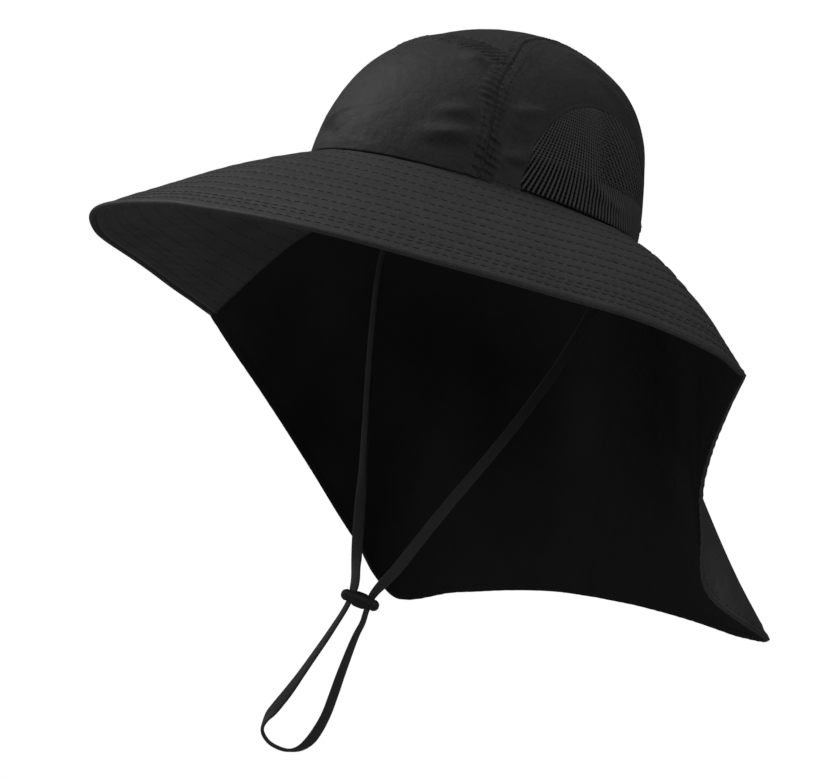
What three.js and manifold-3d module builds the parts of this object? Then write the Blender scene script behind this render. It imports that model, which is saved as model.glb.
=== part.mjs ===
// Wide brim sun hat with a neck flap and a chin cord, as worn.
// Millimetres. +Z is up, the front of the hat faces -Y and the wearer's left is +X.
// The origin is where the hat sits on a head: the middle of the ring where crown and brim are sewn.
// Angles are in degrees about +Z, from 0 at the front, through 90 at the wearer's left, to 180 at the back.

import * as THREE from 'three';
import Module from 'manifold-3d';
import { mergeVertices } from 'three/addons/utils/BufferGeometryUtils.js';

const wasm = await Module();
wasm.setup();

// Driving sizes
const GAP = 0.3;
const SEAM_GAP = 0.4;
const RING_EGG = 0.13;
const CROWN_HEIGHT = 100.5;
const CROWN_CLOTH = 1.6;
const BRIM_CLOTH = 2.4;
const BRIM_END_ANGLE = 97.3;
const BRIM_OVERRUN = 0.6;
const SEAM_HALF_ANGLE = 0.15;
const TURNED_IN = 3;
const EDGE_TAPE_RADIUS = 1.7;
const FLAP_CLOTH = 1.4;
const FLAP_CORNER_ANGLE = 141.6;

// The hem is lower at the wearer's right corner and higher at the left one, by HEM_TILT at HEM_TILT_REACH
// from the middle. This fades out between the two angles on either side of the corner.
const HEM_TILT = 4.8;
const HEM_TILT_REACH = 136;
const TILT_FROM_ANGLE = 132;
const TILT_TO_ANGLE = 152;

// Cutters reach from below the crown to above it, and past its sides.
const CUTTER_START = -30;
const CUTTER_DEPTH = 160;
const FAR_SIDE = 120;
const FAR_BRIM = 400;

// Each row is a level of the crown: rise is the share of the way from the ring to the top, the two
// sizes are what the level would measure if drawn back out to a full quarter circle, and lean is how
// far it stands behind the ring.
const CROWN_LEVELS = [
  { rise: 0.0, halfLength: 104.0, halfWidth: 81.0, lean: 0.0 },
  { rise: 0.2, halfLength: 104.2, halfWidth: 80.9, lean: 3.3 },
  { rise: 0.4, halfLength: 107.9, halfWidth: 83.9, lean: 10.6 },
  { rise: 0.6, halfLength: 110.0, halfWidth: 86.6, lean: 20.4 },
  { rise: 0.75, halfLength: 109.6, halfWidth: 85.4, lean: 25.1 },
  { rise: 0.88, halfLength: 109.9, halfWidth: 85.4, lean: 28.5 },
  { rise: 1.0, halfLength: 109.9, halfWidth: 85.5, lean: 32.1 },
];

// The seams over the crown, seen from above. One runs from the ring at the front to the ring at the
// back on each side of the middle, the other crosses between them behind the front panel.
const LONG_SEAM = [
  { back: -110, side: 110 },
  { back: -61, side: 59.8 },
  { back: -52, side: 50.4 },
  { back: -36, side: 42 },
  { back: -15, side: 29 },
  { back: 20, side: 21.5 },
  { back: 70, side: 25 },
  { back: 115, side: 34 },
];
const CROSS_SEAM = [
  { side: -60, back: -26 },
  { side: -42, back: -36 },
  { side: -20, back: -44 },
  { side: 0, back: -48 },
  { side: 20, back: -44 },
  { side: 42, back: -36 },
  { side: 60, back: -26 },
];

// The mesh vent is an arch on each side of the crown, seen from the side.
const VENT_MIDDLE = 16;
const VENT_HALF_WIDTH = 56;
const VENT_HEIGHT = 59;
const VENT_ROUNDNESS = 2;
const VENT_SLOTS = 16;
const VENT_SLOT_WIDTH = 3;
const VENT_FRAME = 4;

// Each row is a radius of the brim: how far out its outer edge is, how far below the ring, and how
// high the cloth arches above a straight line between ring and edge.
const BRIM_EDGE = [
  { angle: 0, out: 218.8, down: 63.6, arch: 4 },
  { angle: 20, out: 211.0, down: 64.6, arch: 4 },
  { angle: 40, out: 194.5, down: 65.8, arch: 4 },
  { angle: 60, out: 183.7, down: 64.8, arch: 4.5 },
  { angle: 75, out: 187.4, down: 64.3, arch: 6.5 },
  { angle: 90, out: 195.6, down: 68.1, arch: 10 },
  { angle: 97.3, out: 196.8, down: 73.0, arch: 12.5 },
];

// Each row is a section down the neck flap at one angle: its knee below the ring, its middle, and its
// free edge. Up to the corner at 141.6 degrees the free edge is the front edge, then it is the hem.
const FLAP_SECTIONS = [
  { angle: 97.3, kneeOut: 118, kneeDown: 13.5, midOut: 157, midDown: 37.5, endOut: 196.8, endDown: 73 },
  { angle: 101, kneeOut: 120, kneeDown: 15.5, midOut: 156, midDown: 45, endOut: 184.8, endDown: 90 },
  { angle: 106.7, kneeOut: 121, kneeDown: 20, midOut: 153, midDown: 56, endOut: 172.6, endDown: 110 },
  { angle: 113.6, kneeOut: 118, kneeDown: 27, midOut: 146, midDown: 68, endOut: 165.6, endDown: 130 },
  { angle: 121.6, kneeOut: 118, kneeDown: 30, midOut: 143, midDown: 80, endOut: 167.2, endDown: 150 },
  { angle: 129.1, kneeOut: 119, kneeDown: 32, midOut: 144, midDown: 92, endOut: 171.6, endDown: 170 },
  { angle: 133.3, kneeOut: 120, kneeDown: 33, midOut: 145, midDown: 98, endOut: 181.5, endDown: 180 },
  { angle: 137.3, kneeOut: 121, kneeDown: 34, midOut: 148, midDown: 103, endOut: 202.0, endDown: 189.5 },
  { angle: 141.6, kneeOut: 122, kneeDown: 35, midOut: 151, midDown: 106, endOut: 219.0, endDown: 195.5 },
  { angle: 150, kneeOut: 126, kneeDown: 37, midOut: 152, midDown: 110, endOut: 214.0, endDown: 189.5 },
  { angle: 160, kneeOut: 129, kneeDown: 38, midOut: 157, midDown: 108, endOut: 200.0, endDown: 183.5 },
  { angle: 170, kneeOut: 131, kneeDown: 38, midOut: 161, midDown: 106, endOut: 190.0, endDown: 180.5 },
  { angle: 180, kneeOut: 132, kneeDown: 38, midOut: 162, midDown: 105, endOut: 186.0, endDown: 180 },
];

// The chin cord and the slider on it
const CORD_WIDTH = 5;
const CORD_THICKNESS = 2;
const CORD_STEPS = 78;
const CORD_SIDES = 8;
const SLIDER_PLACE = new THREE.Vector3(0, -8.5, -225);
const SLIDER_LENGTH = 21.6;
const SLIDER_HEIGHT = 8.6;
const SLIDER_DEPTH = 9.6;
const SLIDER_TURN = 42;
const SLIDER_TILT = 8;
const SLIDER_HOLE = 5.8;
const SLIDER_HOLE_SPACING = 10.6;

const BLACK_CLOTH = { color: 0x2b2b2d, roughness: 0.62, metalness: 0 };
const BLACK_MESH = { color: 0x161617, roughness: 0.8, metalness: 0 };
const BLACK_CORD = { color: 0x1c1c1d, roughness: 0.7, metalness: 0 };
const BLACK_PLASTIC = { color: 0x1a1a1b, roughness: 0.45, metalness: 0 };

const rad = THREE.MathUtils.degToRad;

// A smooth curve through one column of a table, against another column that rises down the table.
function tableCurve(rows, key, column) {
  const at = rows.map((row) => row[key]);
  const value = rows.map((row) => row[column]);
  const slope = value.map((_, i) => {
    const before = Math.max(i - 1, 0);
    const after = Math.min(i + 1, rows.length - 1);
    return (value[after] - value[before]) / (at[after] - at[before]);
  });
  return (place) => {
    let i = 0;
    while (i < rows.length - 2 && place > at[i + 1]) i += 1;
    const span = at[i + 1] - at[i];
    const t = THREE.MathUtils.clamp((place - at[i]) / span, 0, 1);
    const ease = t * t * (3 - 2 * t);
    const leave = span * slope[i] * t * (1 - t) * (1 - t);
    const arrive = span * slope[i + 1] * t * t * (1 - t);
    return value[i] * (1 - ease) + value[i + 1] * ease + leave - arrive;
  };
}

// Closed triangle mesh from lists of points and faces, with its shared points merged.
function closedGeometry(points, faces) {
  const loose = new THREE.BufferGeometry();
  const flat = points.flatMap((point) => [point.x, point.y, point.z]);
  loose.setAttribute('position', new THREE.Float32BufferAttribute(flat, 3));
  loose.setIndex(faces.flat());
  const merged = mergeVertices(loose, 1e-3);
  const kept = [];
  const index = merged.index.array;
  for (let i = 0; i < index.length; i += 3) {
    const [a, b, c] = [index[i], index[i + 1], index[i + 2]];
    if (a !== b && b !== c && c !== a) kept.push(a, b, c);
  }
  merged.setIndex(kept);
  return merged;
}

// A sheet of cloth between two surfaces, face and back, which take 0 to 1 along and across it. The face
// is the one on the side that along x across points to. A looped sheet joins its last column to its
// first, and closedTop says that it ends in one point.
function sheetGeometry(face, back, along, across, { looped = false, closedTop = false } = {}) {
  const points = [];
  const faces = [];
  const columns = along.length;
  const rows = across.length;
  for (const side of [face, back]) {
    for (const a of along) {
      for (const b of across) points.push(side(a, b));
    }
  }
  const at = (side, i, j) => side * columns * rows + (i % columns) * rows + j;
  const quad = (a, b, c, d) => faces.push([a, b, c], [a, c, d]);
  const spans = looped ? columns : columns - 1;
  for (let i = 0; i < spans; i += 1) {
    for (let j = 0; j < rows - 1; j += 1) {
      quad(at(0, i, j), at(0, i + 1, j), at(0, i + 1, j + 1), at(0, i, j + 1));
      quad(at(1, i, j), at(1, i, j + 1), at(1, i + 1, j + 1), at(1, i + 1, j));
    }
    quad(at(0, i, 0), at(1, i, 0), at(1, i + 1, 0), at(0, i + 1, 0));
    if (!closedTop) {
      quad(at(0, i, rows - 1), at(0, i + 1, rows - 1), at(1, i + 1, rows - 1), at(1, i, rows - 1));
    }
  }
  if (!looped) {
    for (let j = 0; j < rows - 1; j += 1) {
      quad(at(0, 0, j), at(0, 0, j + 1), at(1, 0, j + 1), at(1, 0, j));
      quad(at(0, columns - 1, j), at(1, columns - 1, j), at(1, columns - 1, j + 1), at(0, columns - 1, j + 1));
    }
  }
  return closedGeometry(points, faces);
}

const steps = (count) => Array.from({ length: count + 1 }, (_, i) => i / count);

// The same surface, moved by a distance to the side that along x across points to.
function moved(surface, distance) {
  const reach = 1e-3;
  return (a, b) => {
    const alongA = surface(Math.min(a + reach, 1), b).sub(surface(Math.max(a - reach, 0), b));
    const alongB = surface(a, Math.min(b + reach, 1)).sub(surface(a, Math.max(b - reach, 0)));
    const normal = alongA.cross(alongB).normalize();
    return surface(a, b).addScaledVector(normal, distance);
  };
}

function toSolid(geometry) {
  const bare = geometry.clone();
  bare.deleteAttribute('normal');
  bare.deleteAttribute('uv');
  const merged = mergeVertices(bare, 1e-4);
  const mesh = new wasm.Mesh({
    numProp: 3,
    vertProperties: new Float32Array(merged.attributes.position.array),
    triVerts: new Uint32Array(merged.index.array),
  });
  return new wasm.Manifold(mesh);
}

function toGeometry(solid) {
  const mesh = solid.getMesh();
  const geometry = new THREE.BufferGeometry();
  geometry.setAttribute('position', new THREE.BufferAttribute(new Float32Array(mesh.vertProperties), 3));
  geometry.setIndex(new THREE.BufferAttribute(new Uint32Array(mesh.triVerts), 1));
  return geometry;
}

function namedMesh(name, geometry, finish) {
  const shaded = geometry.clone();
  shaded.computeVertexNormals();
  const mesh = new THREE.Mesh(shaded, new THREE.MeshStandardMaterial(finish));
  mesh.name = name;
  return mesh;
}

// The crown

const levelLength = tableCurve(CROWN_LEVELS, 'rise', 'halfLength');
const levelWidth = tableCurve(CROWN_LEVELS, 'rise', 'halfWidth');
const levelLean = tableCurve(CROWN_LEVELS, 'rise', 'lean');

function crownPoint(angle, rise, inset) {
  const turn = rad(angle);
  const quarter = rise * Math.PI / 2;
  const egg = RING_EGG * (1 - rise);
  const halfWidth = (levelWidth(rise) - inset) * Math.cos(quarter) * (1 - egg * Math.cos(turn));
  const halfLength = (levelLength(rise) - inset) * Math.cos(quarter);
  return new THREE.Vector3(
    halfWidth * Math.sin(turn),
    levelLean(rise) - halfLength * Math.cos(turn),
    GAP + (CROWN_HEIGHT - inset) * Math.sin(quarter),
  );
}

function ringPoint(angle, inset) {
  const point = crownPoint(angle, 0, inset);
  return point.setZ(0);
}

function crownShell() {
  const columns = 48;
  const rows = 11;
  const side = (inset) => (a, b) => crownPoint(360 * a, b, inset);
  const along = Array.from({ length: columns }, (_, i) => i / columns);
  return toSolid(sheetGeometry(side(0), side(CROWN_CLOTH), along, steps(rows), { looped: true, closedTop: true }));
}

const longSeam = tableCurve(LONG_SEAM, 'back', 'side');
const crossSeam = tableCurve(CROSS_SEAM, 'side', 'back');
const PLAN_FRONT = LONG_SEAM[0].back;
const PLAN_BACK = LONG_SEAM[LONG_SEAM.length - 1].back;
const SEAM_CROSSING = CROSS_SEAM[1].back;
const SEAM_CROSSING_SIDE = CROSS_SEAM[5].side;
const FRONT_SEAM_STEPS = 12;
const BACK_SEAM_STEPS = 14;

// A cutter with an outline seen from above, which stands through the whole crown unless told otherwise.
function planCutter(outline, start = CUTTER_START, depth = CUTTER_DEPTH) {
  const shape = new THREE.Shape(outline.map(([x, y]) => new THREE.Vector2(x, y)));
  const geometry = new THREE.ExtrudeGeometry(shape, { depth, bevelEnabled: false });
  return toSolid(geometry.translate(0, 0, start));
}

function seamLine(from, to, count, side, shift) {
  return steps(count).map((t) => {
    const back = from + (to - from) * t;
    return [side * (longSeam(back) + shift), back];
  });
}

function crossLine(count, shift) {
  const reach = SEAM_CROSSING_SIDE - SEAM_GAP / 2;
  return steps(count).map((t) => {
    const side = -reach + 2 * reach * t;
    return [side, crossSeam(side) + shift];
  });
}

function frontPanel(shell) {
  const inward = -SEAM_GAP / 2;
  const outline = [
    ...seamLine(SEAM_CROSSING + inward, PLAN_FRONT, FRONT_SEAM_STEPS, 1, inward),
    ...seamLine(PLAN_FRONT, SEAM_CROSSING + inward, FRONT_SEAM_STEPS, -1, inward),
    ...crossLine(10, inward).slice(1, -1),
  ];
  return shell.intersect(planCutter(outline.reverse()));
}

function topPanel(shell) {
  const inward = -SEAM_GAP / 2;
  const outline = [
    ...crossLine(10, -inward),
    ...seamLine(SEAM_CROSSING - inward, PLAN_BACK, BACK_SEAM_STEPS, 1, inward).slice(1),
    ...seamLine(PLAN_BACK, SEAM_CROSSING - inward, BACK_SEAM_STEPS, -1, inward).slice(0, -1),
  ];
  return shell.intersect(planCutter(outline));
}

function sidePanel(shell, side) {
  const outward = SEAM_GAP / 2;
  const outline = [
    ...seamLine(PLAN_BACK, SEAM_CROSSING, BACK_SEAM_STEPS, side, outward),
    ...seamLine(SEAM_CROSSING, PLAN_FRONT, FRONT_SEAM_STEPS, side, outward).slice(1),
    [side * FAR_SIDE, PLAN_FRONT],
    [side * FAR_SIDE, PLAN_BACK],
  ];
  return shell.intersect(planCutter(side > 0 ? outline : outline.reverse()));
}

// Height of the vent's arch at a place along the crown, for an arch grown or shrunk by a border.
function archHeight(back, grown) {
  const across = Math.min(Math.abs(back - VENT_MIDDLE) / (VENT_HALF_WIDTH + grown), 1);
  return (VENT_HEIGHT + grown) * Math.pow(1 - Math.pow(across, VENT_ROUNDNESS), 1 / VENT_ROUNDNESS);
}

function archCutter(side, grown) {
  const count = 28;
  const half = VENT_HALF_WIDTH + grown;
  const arch = steps(count).map((t) => {
    const across = -Math.cos(Math.PI * t) * half;
    return new THREE.Vector2(VENT_MIDDLE + across, archHeight(VENT_MIDDLE + across, grown));
  });
  const shape = new THREE.Shape([
    new THREE.Vector2(VENT_MIDDLE - half, CUTTER_START),
    new THREE.Vector2(VENT_MIDDLE + half, CUTTER_START),
    ...arch.reverse(),
  ]);
  const geometry = new THREE.ExtrudeGeometry(shape, { depth: FAR_SIDE, bevelEnabled: false });
  geometry.rotateX(Math.PI / 2);
  geometry.rotateZ(Math.PI / 2);
  if (side < 0) geometry.translate(-FAR_SIDE, 0, 0);
  return toSolid(geometry);
}

function ventPanel(panel, side) {
  let vent = panel.intersect(archCutter(side, -SEAM_GAP / 2));
  const pitch = 2 * (VENT_HALF_WIDTH - VENT_FRAME) / VENT_SLOTS;
  for (let i = 0; i < VENT_SLOTS; i += 1) {
    const back = VENT_MIDDLE - VENT_HALF_WIDTH + VENT_FRAME + (i + 0.5) * pitch;
    const edge = back + Math.sign(back - VENT_MIDDLE) * VENT_SLOT_WIDTH / 2;
    const top = archHeight(edge, -VENT_FRAME);
    const height = top - VENT_FRAME;
    if (height > VENT_FRAME) {
      const slot = new THREE.BoxGeometry(FAR_SIDE, VENT_SLOT_WIDTH, height);
      slot.translate(side * FAR_SIDE / 2, back, VENT_FRAME + height / 2);
      vent = vent.subtract(toSolid(slot));
    }
  }
  return vent;
}

// The brim and its edge tape

const edgeOut = tableCurve(BRIM_EDGE, 'angle', 'out');
const edgeDown = tableCurve(BRIM_EDGE, 'angle', 'down');
const edgeArch = tableCurve(BRIM_EDGE, 'angle', 'arch');

function outward(angle, out, down) {
  return new THREE.Vector3(out * Math.sin(rad(angle)), -out * Math.cos(rad(angle)), -down);
}

function brimEdgePoint(angle) {
  const away = Math.abs(angle);
  return outward(angle, edgeOut(away), edgeDown(away));
}

// A cutter over the front of the hat, between the same angle on either side of it.
function frontCutter(angle) {
  const rim = steps(8).map((t) => outward(angle * (2 * t - 1), FAR_BRIM, 0));
  return planCutter([[0, 0], ...rim.map((point) => [point.x, point.y])], -FAR_BRIM, 2 * FAR_BRIM);
}

const BRIM_LAST_ANGLE = BRIM_END_ANGLE + BRIM_OVERRUN;

// The brim's cloth stops inside the tape that wraps its edge.
function clothEdgePoint(angle) {
  const edge = brimEdgePoint(angle);
  const inward = ringPoint(angle, TURNED_IN).sub(edge).normalize();
  return edge.addScaledVector(inward, 2 * EDGE_TAPE_RADIUS + GAP);
}

function brimPoint(a, b) {
  const angle = BRIM_LAST_ANGLE * (2 * a - 1);
  const point = ringPoint(angle, TURNED_IN).lerp(clothEdgePoint(angle), b);
  point.z += edgeArch(Math.abs(angle)) * 4 * b * (1 - b);
  return point;
}

function brimGeometry() {
  const sheet = sheetGeometry(moved(brimPoint, BRIM_CLOTH), brimPoint, steps(44), steps(6));
  return toGeometry(toSolid(sheet).intersect(frontCutter(BRIM_END_ANGLE - SEAM_HALF_ANGLE)));
}

// The tape wraps the cut edge of the brim, and its two ends stop at the flap.
function edgeTapeGeometry() {
  const count = 44;
  const line = steps(count).map((a) => {
    const angle = BRIM_LAST_ANGLE * (2 * a - 1);
    const edge = brimEdgePoint(angle);
    const inward = ringPoint(angle, TURNED_IN).sub(edge).normalize();
    edge.addScaledVector(inward, EDGE_TAPE_RADIUS);
    edge.z -= BRIM_CLOTH / 2;
    return edge;
  });
  const section = new THREE.Shape();
  section.absarc(0, 0, EDGE_TAPE_RADIUS, 0, 2 * Math.PI);
  const path = new THREE.CatmullRomCurve3(line);
  const tape = new THREE.ExtrudeGeometry(section, {
    steps: count, curveSegments: 3, bevelEnabled: false, extrudePath: path,
  });
  return toGeometry(toSolid(tape).intersect(frontCutter(BRIM_END_ANGLE - SEAM_HALF_ANGLE)));
}

// The neck flap

const flapCurves = Object.fromEntries(
  Object.keys(FLAP_SECTIONS[0]).map((column) => [column, tableCurve(FLAP_SECTIONS, 'angle', column)]),
);

// A section through ring, knee, middle and free edge, at a share of the way down.
function flapPoint(angle, share) {
  const away = angle > 180 ? 360 - angle : angle;
  const ring = ringPoint(angle, TURNED_IN);
  const row = Object.fromEntries(Object.entries(flapCurves).map(([column, curve]) => [column, curve(away)]));
  const section = new THREE.CatmullRomCurve3([
    ring,
    outward(angle, row.kneeOut, row.kneeDown),
    outward(angle, row.midOut, row.midDown),
    outward(angle, row.endOut, row.endDown),
  ], false, 'centripetal');
  const point = section.getPoint(share);
  const rising = THREE.MathUtils.smoothstep(away, TILT_FROM_ANGLE, FLAP_CORNER_ANGLE);
  const reached = rising * (1 - THREE.MathUtils.smoothstep(away, FLAP_CORNER_ANGLE, TILT_TO_ANGLE));
  point.z += HEM_TILT * point.x / HEM_TILT_REACH * share * share * reached;
  return point;
}

function flapAngles() {
  const half = [];
  const between = 2;
  for (let i = 0; i < FLAP_SECTIONS.length - 1; i += 1) {
    const from = FLAP_SECTIONS[i].angle;
    const to = FLAP_SECTIONS[i + 1].angle;
    for (let k = 0; k < between; k += 1) half.push(from + (to - from) * k / between);
  }
  const otherHalf = half.map((angle) => 360 - angle).reverse();
  return [...half, 180, ...otherHalf];
}

function flapGeometry() {
  const angles = flapAngles();
  const first = angles[0];
  const span = angles[angles.length - 1] - first;
  const surface = (a, b) => flapPoint(first + span * a, b);
  const along = angles.map((angle) => (angle - first) / span);
  const sheet = sheetGeometry(moved(surface, FLAP_CLOTH), surface, along, steps(8));
  return toGeometry(toSolid(sheet).subtract(frontCutter(BRIM_END_ANGLE + SEAM_HALF_ANGLE)));
}

// The chin cord hangs from the ring on both sides, runs through the slider and ends in a loop below it.
// The wearer's left strand from the ring to just above the slider; the right strand mirrors it.
const STRAND = [
  [78.3, 31.0, -6.4],
  [82.5, 32.8, -26],
  [79.7, 30.8, -42],
  [71.8, 27.3, -70],
  [60.7, 22.1, -100],
  [47.9, 15.7, -130],
  [34.2, 8.0, -160],
  [21.3, 0.8, -190],
  [14.7, -2.3, -205],
];

// The loop below the slider, on the upright plane through its long axis: along it and below its middle.
const LOOP = [
  [4.2, 11.5],
  [2.4, 19],
  [-0.6, 41],
  [-1.8, 53],
  [-3.2, 64],
  [-5.4, 72.5],
  [-8.4, 79.6],
  [-13, 84.9],
  [-18.5, 87.2],
  [-24.5, 87],
  [-30.2, 84.9],
  [-34.4, 80],
  [-33.8, 74],
  [-30.1, 66],
  [-25.4, 56],
  [-16.2, 33],
  [-10.8, 18.7],
];

const sliderAxis = new THREE.Vector3(Math.cos(rad(SLIDER_TURN)), Math.sin(rad(SLIDER_TURN)), 0);

function loopPlace([along, below]) {
  const drop = new THREE.Vector3(0, 0, -below);
  return SLIDER_PLACE.clone().addScaledVector(sliderAxis, along).add(drop);
}

// Where a hole of the slider opens: side is 1 or -1 along the slider, end is 1 above and -1 below.
function holeMouth(side, end) {
  const along = side * SLIDER_HOLE_SPACING / 2;
  const up = end * SLIDER_HEIGHT / 2;
  const lean = rad(SLIDER_TILT);
  return loopPlace([
    along * Math.cos(lean) + up * Math.sin(lean),
    along * Math.sin(lean) - up * Math.cos(lean),
  ]);
}

function cordRoute() {
  const left = STRAND.map(([x, y, z]) => new THREE.Vector3(x, y, z));
  const right = STRAND.map(([x, y, z]) => new THREE.Vector3(-x, y, z)).reverse();
  const leftHole = [holeMouth(1, 1), holeMouth(1, -1)];
  const rightHole = [holeMouth(-1, -1), holeMouth(-1, 1)];
  return [...left, ...leftHole, ...LOOP.map(loopPlace), ...rightHole, ...right];
}

function cordGeometry() {
  const section = new THREE.Shape();
  for (let i = 0; i < CORD_SIDES; i += 1) {
    const turn = 2 * Math.PI * i / CORD_SIDES;
    const x = CORD_THICKNESS / 2 * Math.cos(turn);
    const y = CORD_WIDTH / 2 * Math.sin(turn);
    if (i === 0) section.moveTo(x, y);
    else section.lineTo(x, y);
  }
  section.closePath();
  const path = new THREE.CatmullRomCurve3(cordRoute(), false, 'centripetal');
  return new THREE.ExtrudeGeometry(section, {
    steps: CORD_STEPS, bevelEnabled: false, extrudePath: path,
  });
}

// An oval bead with rounded ends, and two holes down through it.
function sliderGeometry() {
  const profile = steps(8).map((t) => {
    const turn = Math.PI * (t - 0.5);
    const radius = SLIDER_HEIGHT / 2 * Math.pow(Math.cos(turn), 0.45);
    return new THREE.Vector2(Math.max(radius, 0), SLIDER_LENGTH / 2 * Math.sin(turn));
  });
  const bead = new THREE.LatheGeometry(profile, 16);
  bead.rotateZ(-Math.PI / 2);
  bead.scale(1, SLIDER_DEPTH / SLIDER_HEIGHT, 1);
  let solid = toSolid(bead);
  for (const side of [-1, 1]) {
    const hole = new THREE.CylinderGeometry(SLIDER_HOLE / 2, SLIDER_HOLE / 2, 3 * SLIDER_HEIGHT, 14);
    hole.rotateX(Math.PI / 2);
    hole.translate(side * SLIDER_HOLE_SPACING / 2, 0, 0);
    solid = solid.subtract(toSolid(hole));
  }
  return toGeometry(solid);
}

const hat = new THREE.Group();
const shell = crownShell();
hat.add(namedMesh('crown_front', toGeometry(frontPanel(shell)), BLACK_CLOTH));
hat.add(namedMesh('crown_top', toGeometry(topPanel(shell)), BLACK_CLOTH));
for (const [word, side] of [['left', 1], ['right', -1]]) {
  const panel = sidePanel(shell, side);
  const cloth = panel.subtract(archCutter(side, SEAM_GAP / 2));
  hat.add(namedMesh(`crown_side_${word}`, toGeometry(cloth), BLACK_CLOTH));
  hat.add(namedMesh(`vent_mesh_${word}`, toGeometry(ventPanel(panel, side)), BLACK_MESH));
}
hat.add(namedMesh('brim', brimGeometry(), BLACK_CLOTH));
hat.add(namedMesh('brim_edge', edgeTapeGeometry(), BLACK_CLOTH));
hat.add(namedMesh('neck_flap', flapGeometry(), BLACK_CLOTH));
hat.add(namedMesh('chin_cord', cordGeometry(), BLACK_CORD));

const slider = namedMesh('cord_toggle', sliderGeometry(), BLACK_PLASTIC);
slider.position.copy(SLIDER_PLACE);
slider.rotation.set(0, rad(SLIDER_TILT), rad(SLIDER_TURN), 'ZYX');
hat.add(slider);

export default hat;
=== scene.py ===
"""Wide brim sun hat with a neck flap and a chin cord: its cloth, mesh, stitching, cord and finishes."""
import math

import bmesh
import bpy
import numpy as np
from mathutils import Matrix, Vector


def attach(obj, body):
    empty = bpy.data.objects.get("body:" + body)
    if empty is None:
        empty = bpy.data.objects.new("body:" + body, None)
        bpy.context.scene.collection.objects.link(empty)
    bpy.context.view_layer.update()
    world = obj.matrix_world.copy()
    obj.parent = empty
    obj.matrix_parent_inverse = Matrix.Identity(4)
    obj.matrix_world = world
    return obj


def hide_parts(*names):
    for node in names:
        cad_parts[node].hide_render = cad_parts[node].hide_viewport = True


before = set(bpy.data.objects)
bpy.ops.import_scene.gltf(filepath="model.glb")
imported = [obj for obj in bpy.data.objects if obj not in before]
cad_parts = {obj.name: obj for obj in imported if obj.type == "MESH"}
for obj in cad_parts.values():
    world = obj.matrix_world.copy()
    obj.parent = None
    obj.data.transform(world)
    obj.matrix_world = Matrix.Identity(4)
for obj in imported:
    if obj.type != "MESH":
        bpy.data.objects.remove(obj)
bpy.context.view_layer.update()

# Sizes are in millimetres and become metres where a mesh is made. Angles are in degrees about +Z, from
# 0 at the front, through 90 at the wearer's left, to 180 at the back.
MM = 0.001


def table(columns, *rows):
    """A table as one dictionary for each row, with the words in columns as its names."""
    return [dict(zip(columns.split(), row)) for row in rows]


# The picture and the camera that looks up at the hat from its front left
IMAGE_WIDTH = 819
SENSOR_WIDTH = 36
CAMERA_AZIMUTH = 42.245
CAMERA_ELEVATION = -9.716
CAMERA_ROLL = 13.605
CAMERA_DISTANCE = 2500
PIXELS_PER_MM = 1.837
AIM_RIGHT = -31.5
AIM_UP = -101.4
FLOOR_HEIGHT = -1100

# The same driving sizes as the solids
GAP = 0.3
RING_EGG = 0.13
CROWN_HEIGHT = 100.5
CROWN_CLOTH = 1.6
BRIM_CLOTH = 2.4
BRIM_END_ANGLE = 97.3
TURNED_IN = 3
EDGE_TAPE_RADIUS = 1.7
FLAP_CLOTH = 1.4
HEM_TILT = 4.8
HEM_TILT_REACH = 136
FLAP_CORNER_ANGLE = 141.6
TILT_FROM_ANGLE = 132
TILT_TO_ANGLE = 152

CROWN_LEVELS = table(
    "rise half_length half_width lean",
    (0.0, 104.0, 81.0, 0.0),
    (0.2, 104.2, 80.9, 3.3),
    (0.4, 107.9, 83.9, 10.6),
    (0.6, 110.0, 86.6, 20.4),
    (0.75, 109.6, 85.4, 25.1),
    (0.88, 109.9, 85.4, 28.5),
    (1.0, 109.9, 85.5, 32.1),
)
LONG_SEAM = table(
    "back side",
    (-110, 110), (-61, 59.8), (-52, 50.4), (-36, 42), (-15, 29), (20, 21.5), (70, 25), (115, 34),
)
CROSS_SEAM = table(
    "side back",
    (-60, -26), (-42, -36), (-20, -44), (0, -48), (20, -44), (42, -36), (60, -26),
)
JUNCTION_SIDE = 42
JUNCTION_BACK = -36
VENT_MIDDLE = 16
VENT_HALF_WIDTH = 56
VENT_HEIGHT = 59
VENT_ROUNDNESS = 2

BRIM_EDGE = table(
    "angle out down arch",
    (0, 218.8, 63.6, 4),
    (20, 211.0, 64.6, 4),
    (40, 194.5, 65.8, 4),
    (60, 183.7, 64.8, 4.5),
    (75, 187.4, 64.3, 6.5),
    (90, 195.6, 68.1, 10),
    (97.3, 196.8, 73.0, 12.5),
)
FLAP_COLUMNS = "angle knee_out knee_down mid_out mid_down end_out end_down"
FLAP_SECTIONS = table(
    FLAP_COLUMNS,
    (97.3, 118, 13.5, 157, 37.5, 196.8, 73),
    (101, 120, 15.5, 156, 45, 184.8, 90),
    (106.7, 121, 20, 153, 56, 172.6, 110),
    (113.6, 118, 27, 146, 68, 165.6, 130),
    (121.6, 118, 30, 143, 80, 167.2, 150),
    (129.1, 119, 32, 144, 92, 171.6, 170),
    (133.3, 120, 33, 145, 98, 181.5, 180),
    (137.3, 121, 34, 148, 103, 202.0, 189.5),
    (141.6, 122, 35, 151, 106, 219.0, 195.5),
    (150, 126, 37, 152, 110, 214.0, 189.5),
    (160, 129, 38, 157, 108, 200.0, 183.5),
    (170, 131, 38, 161, 106, 190.0, 180.5),
    (180, 132, 38, 162, 105, 186.0, 180),
)

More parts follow.
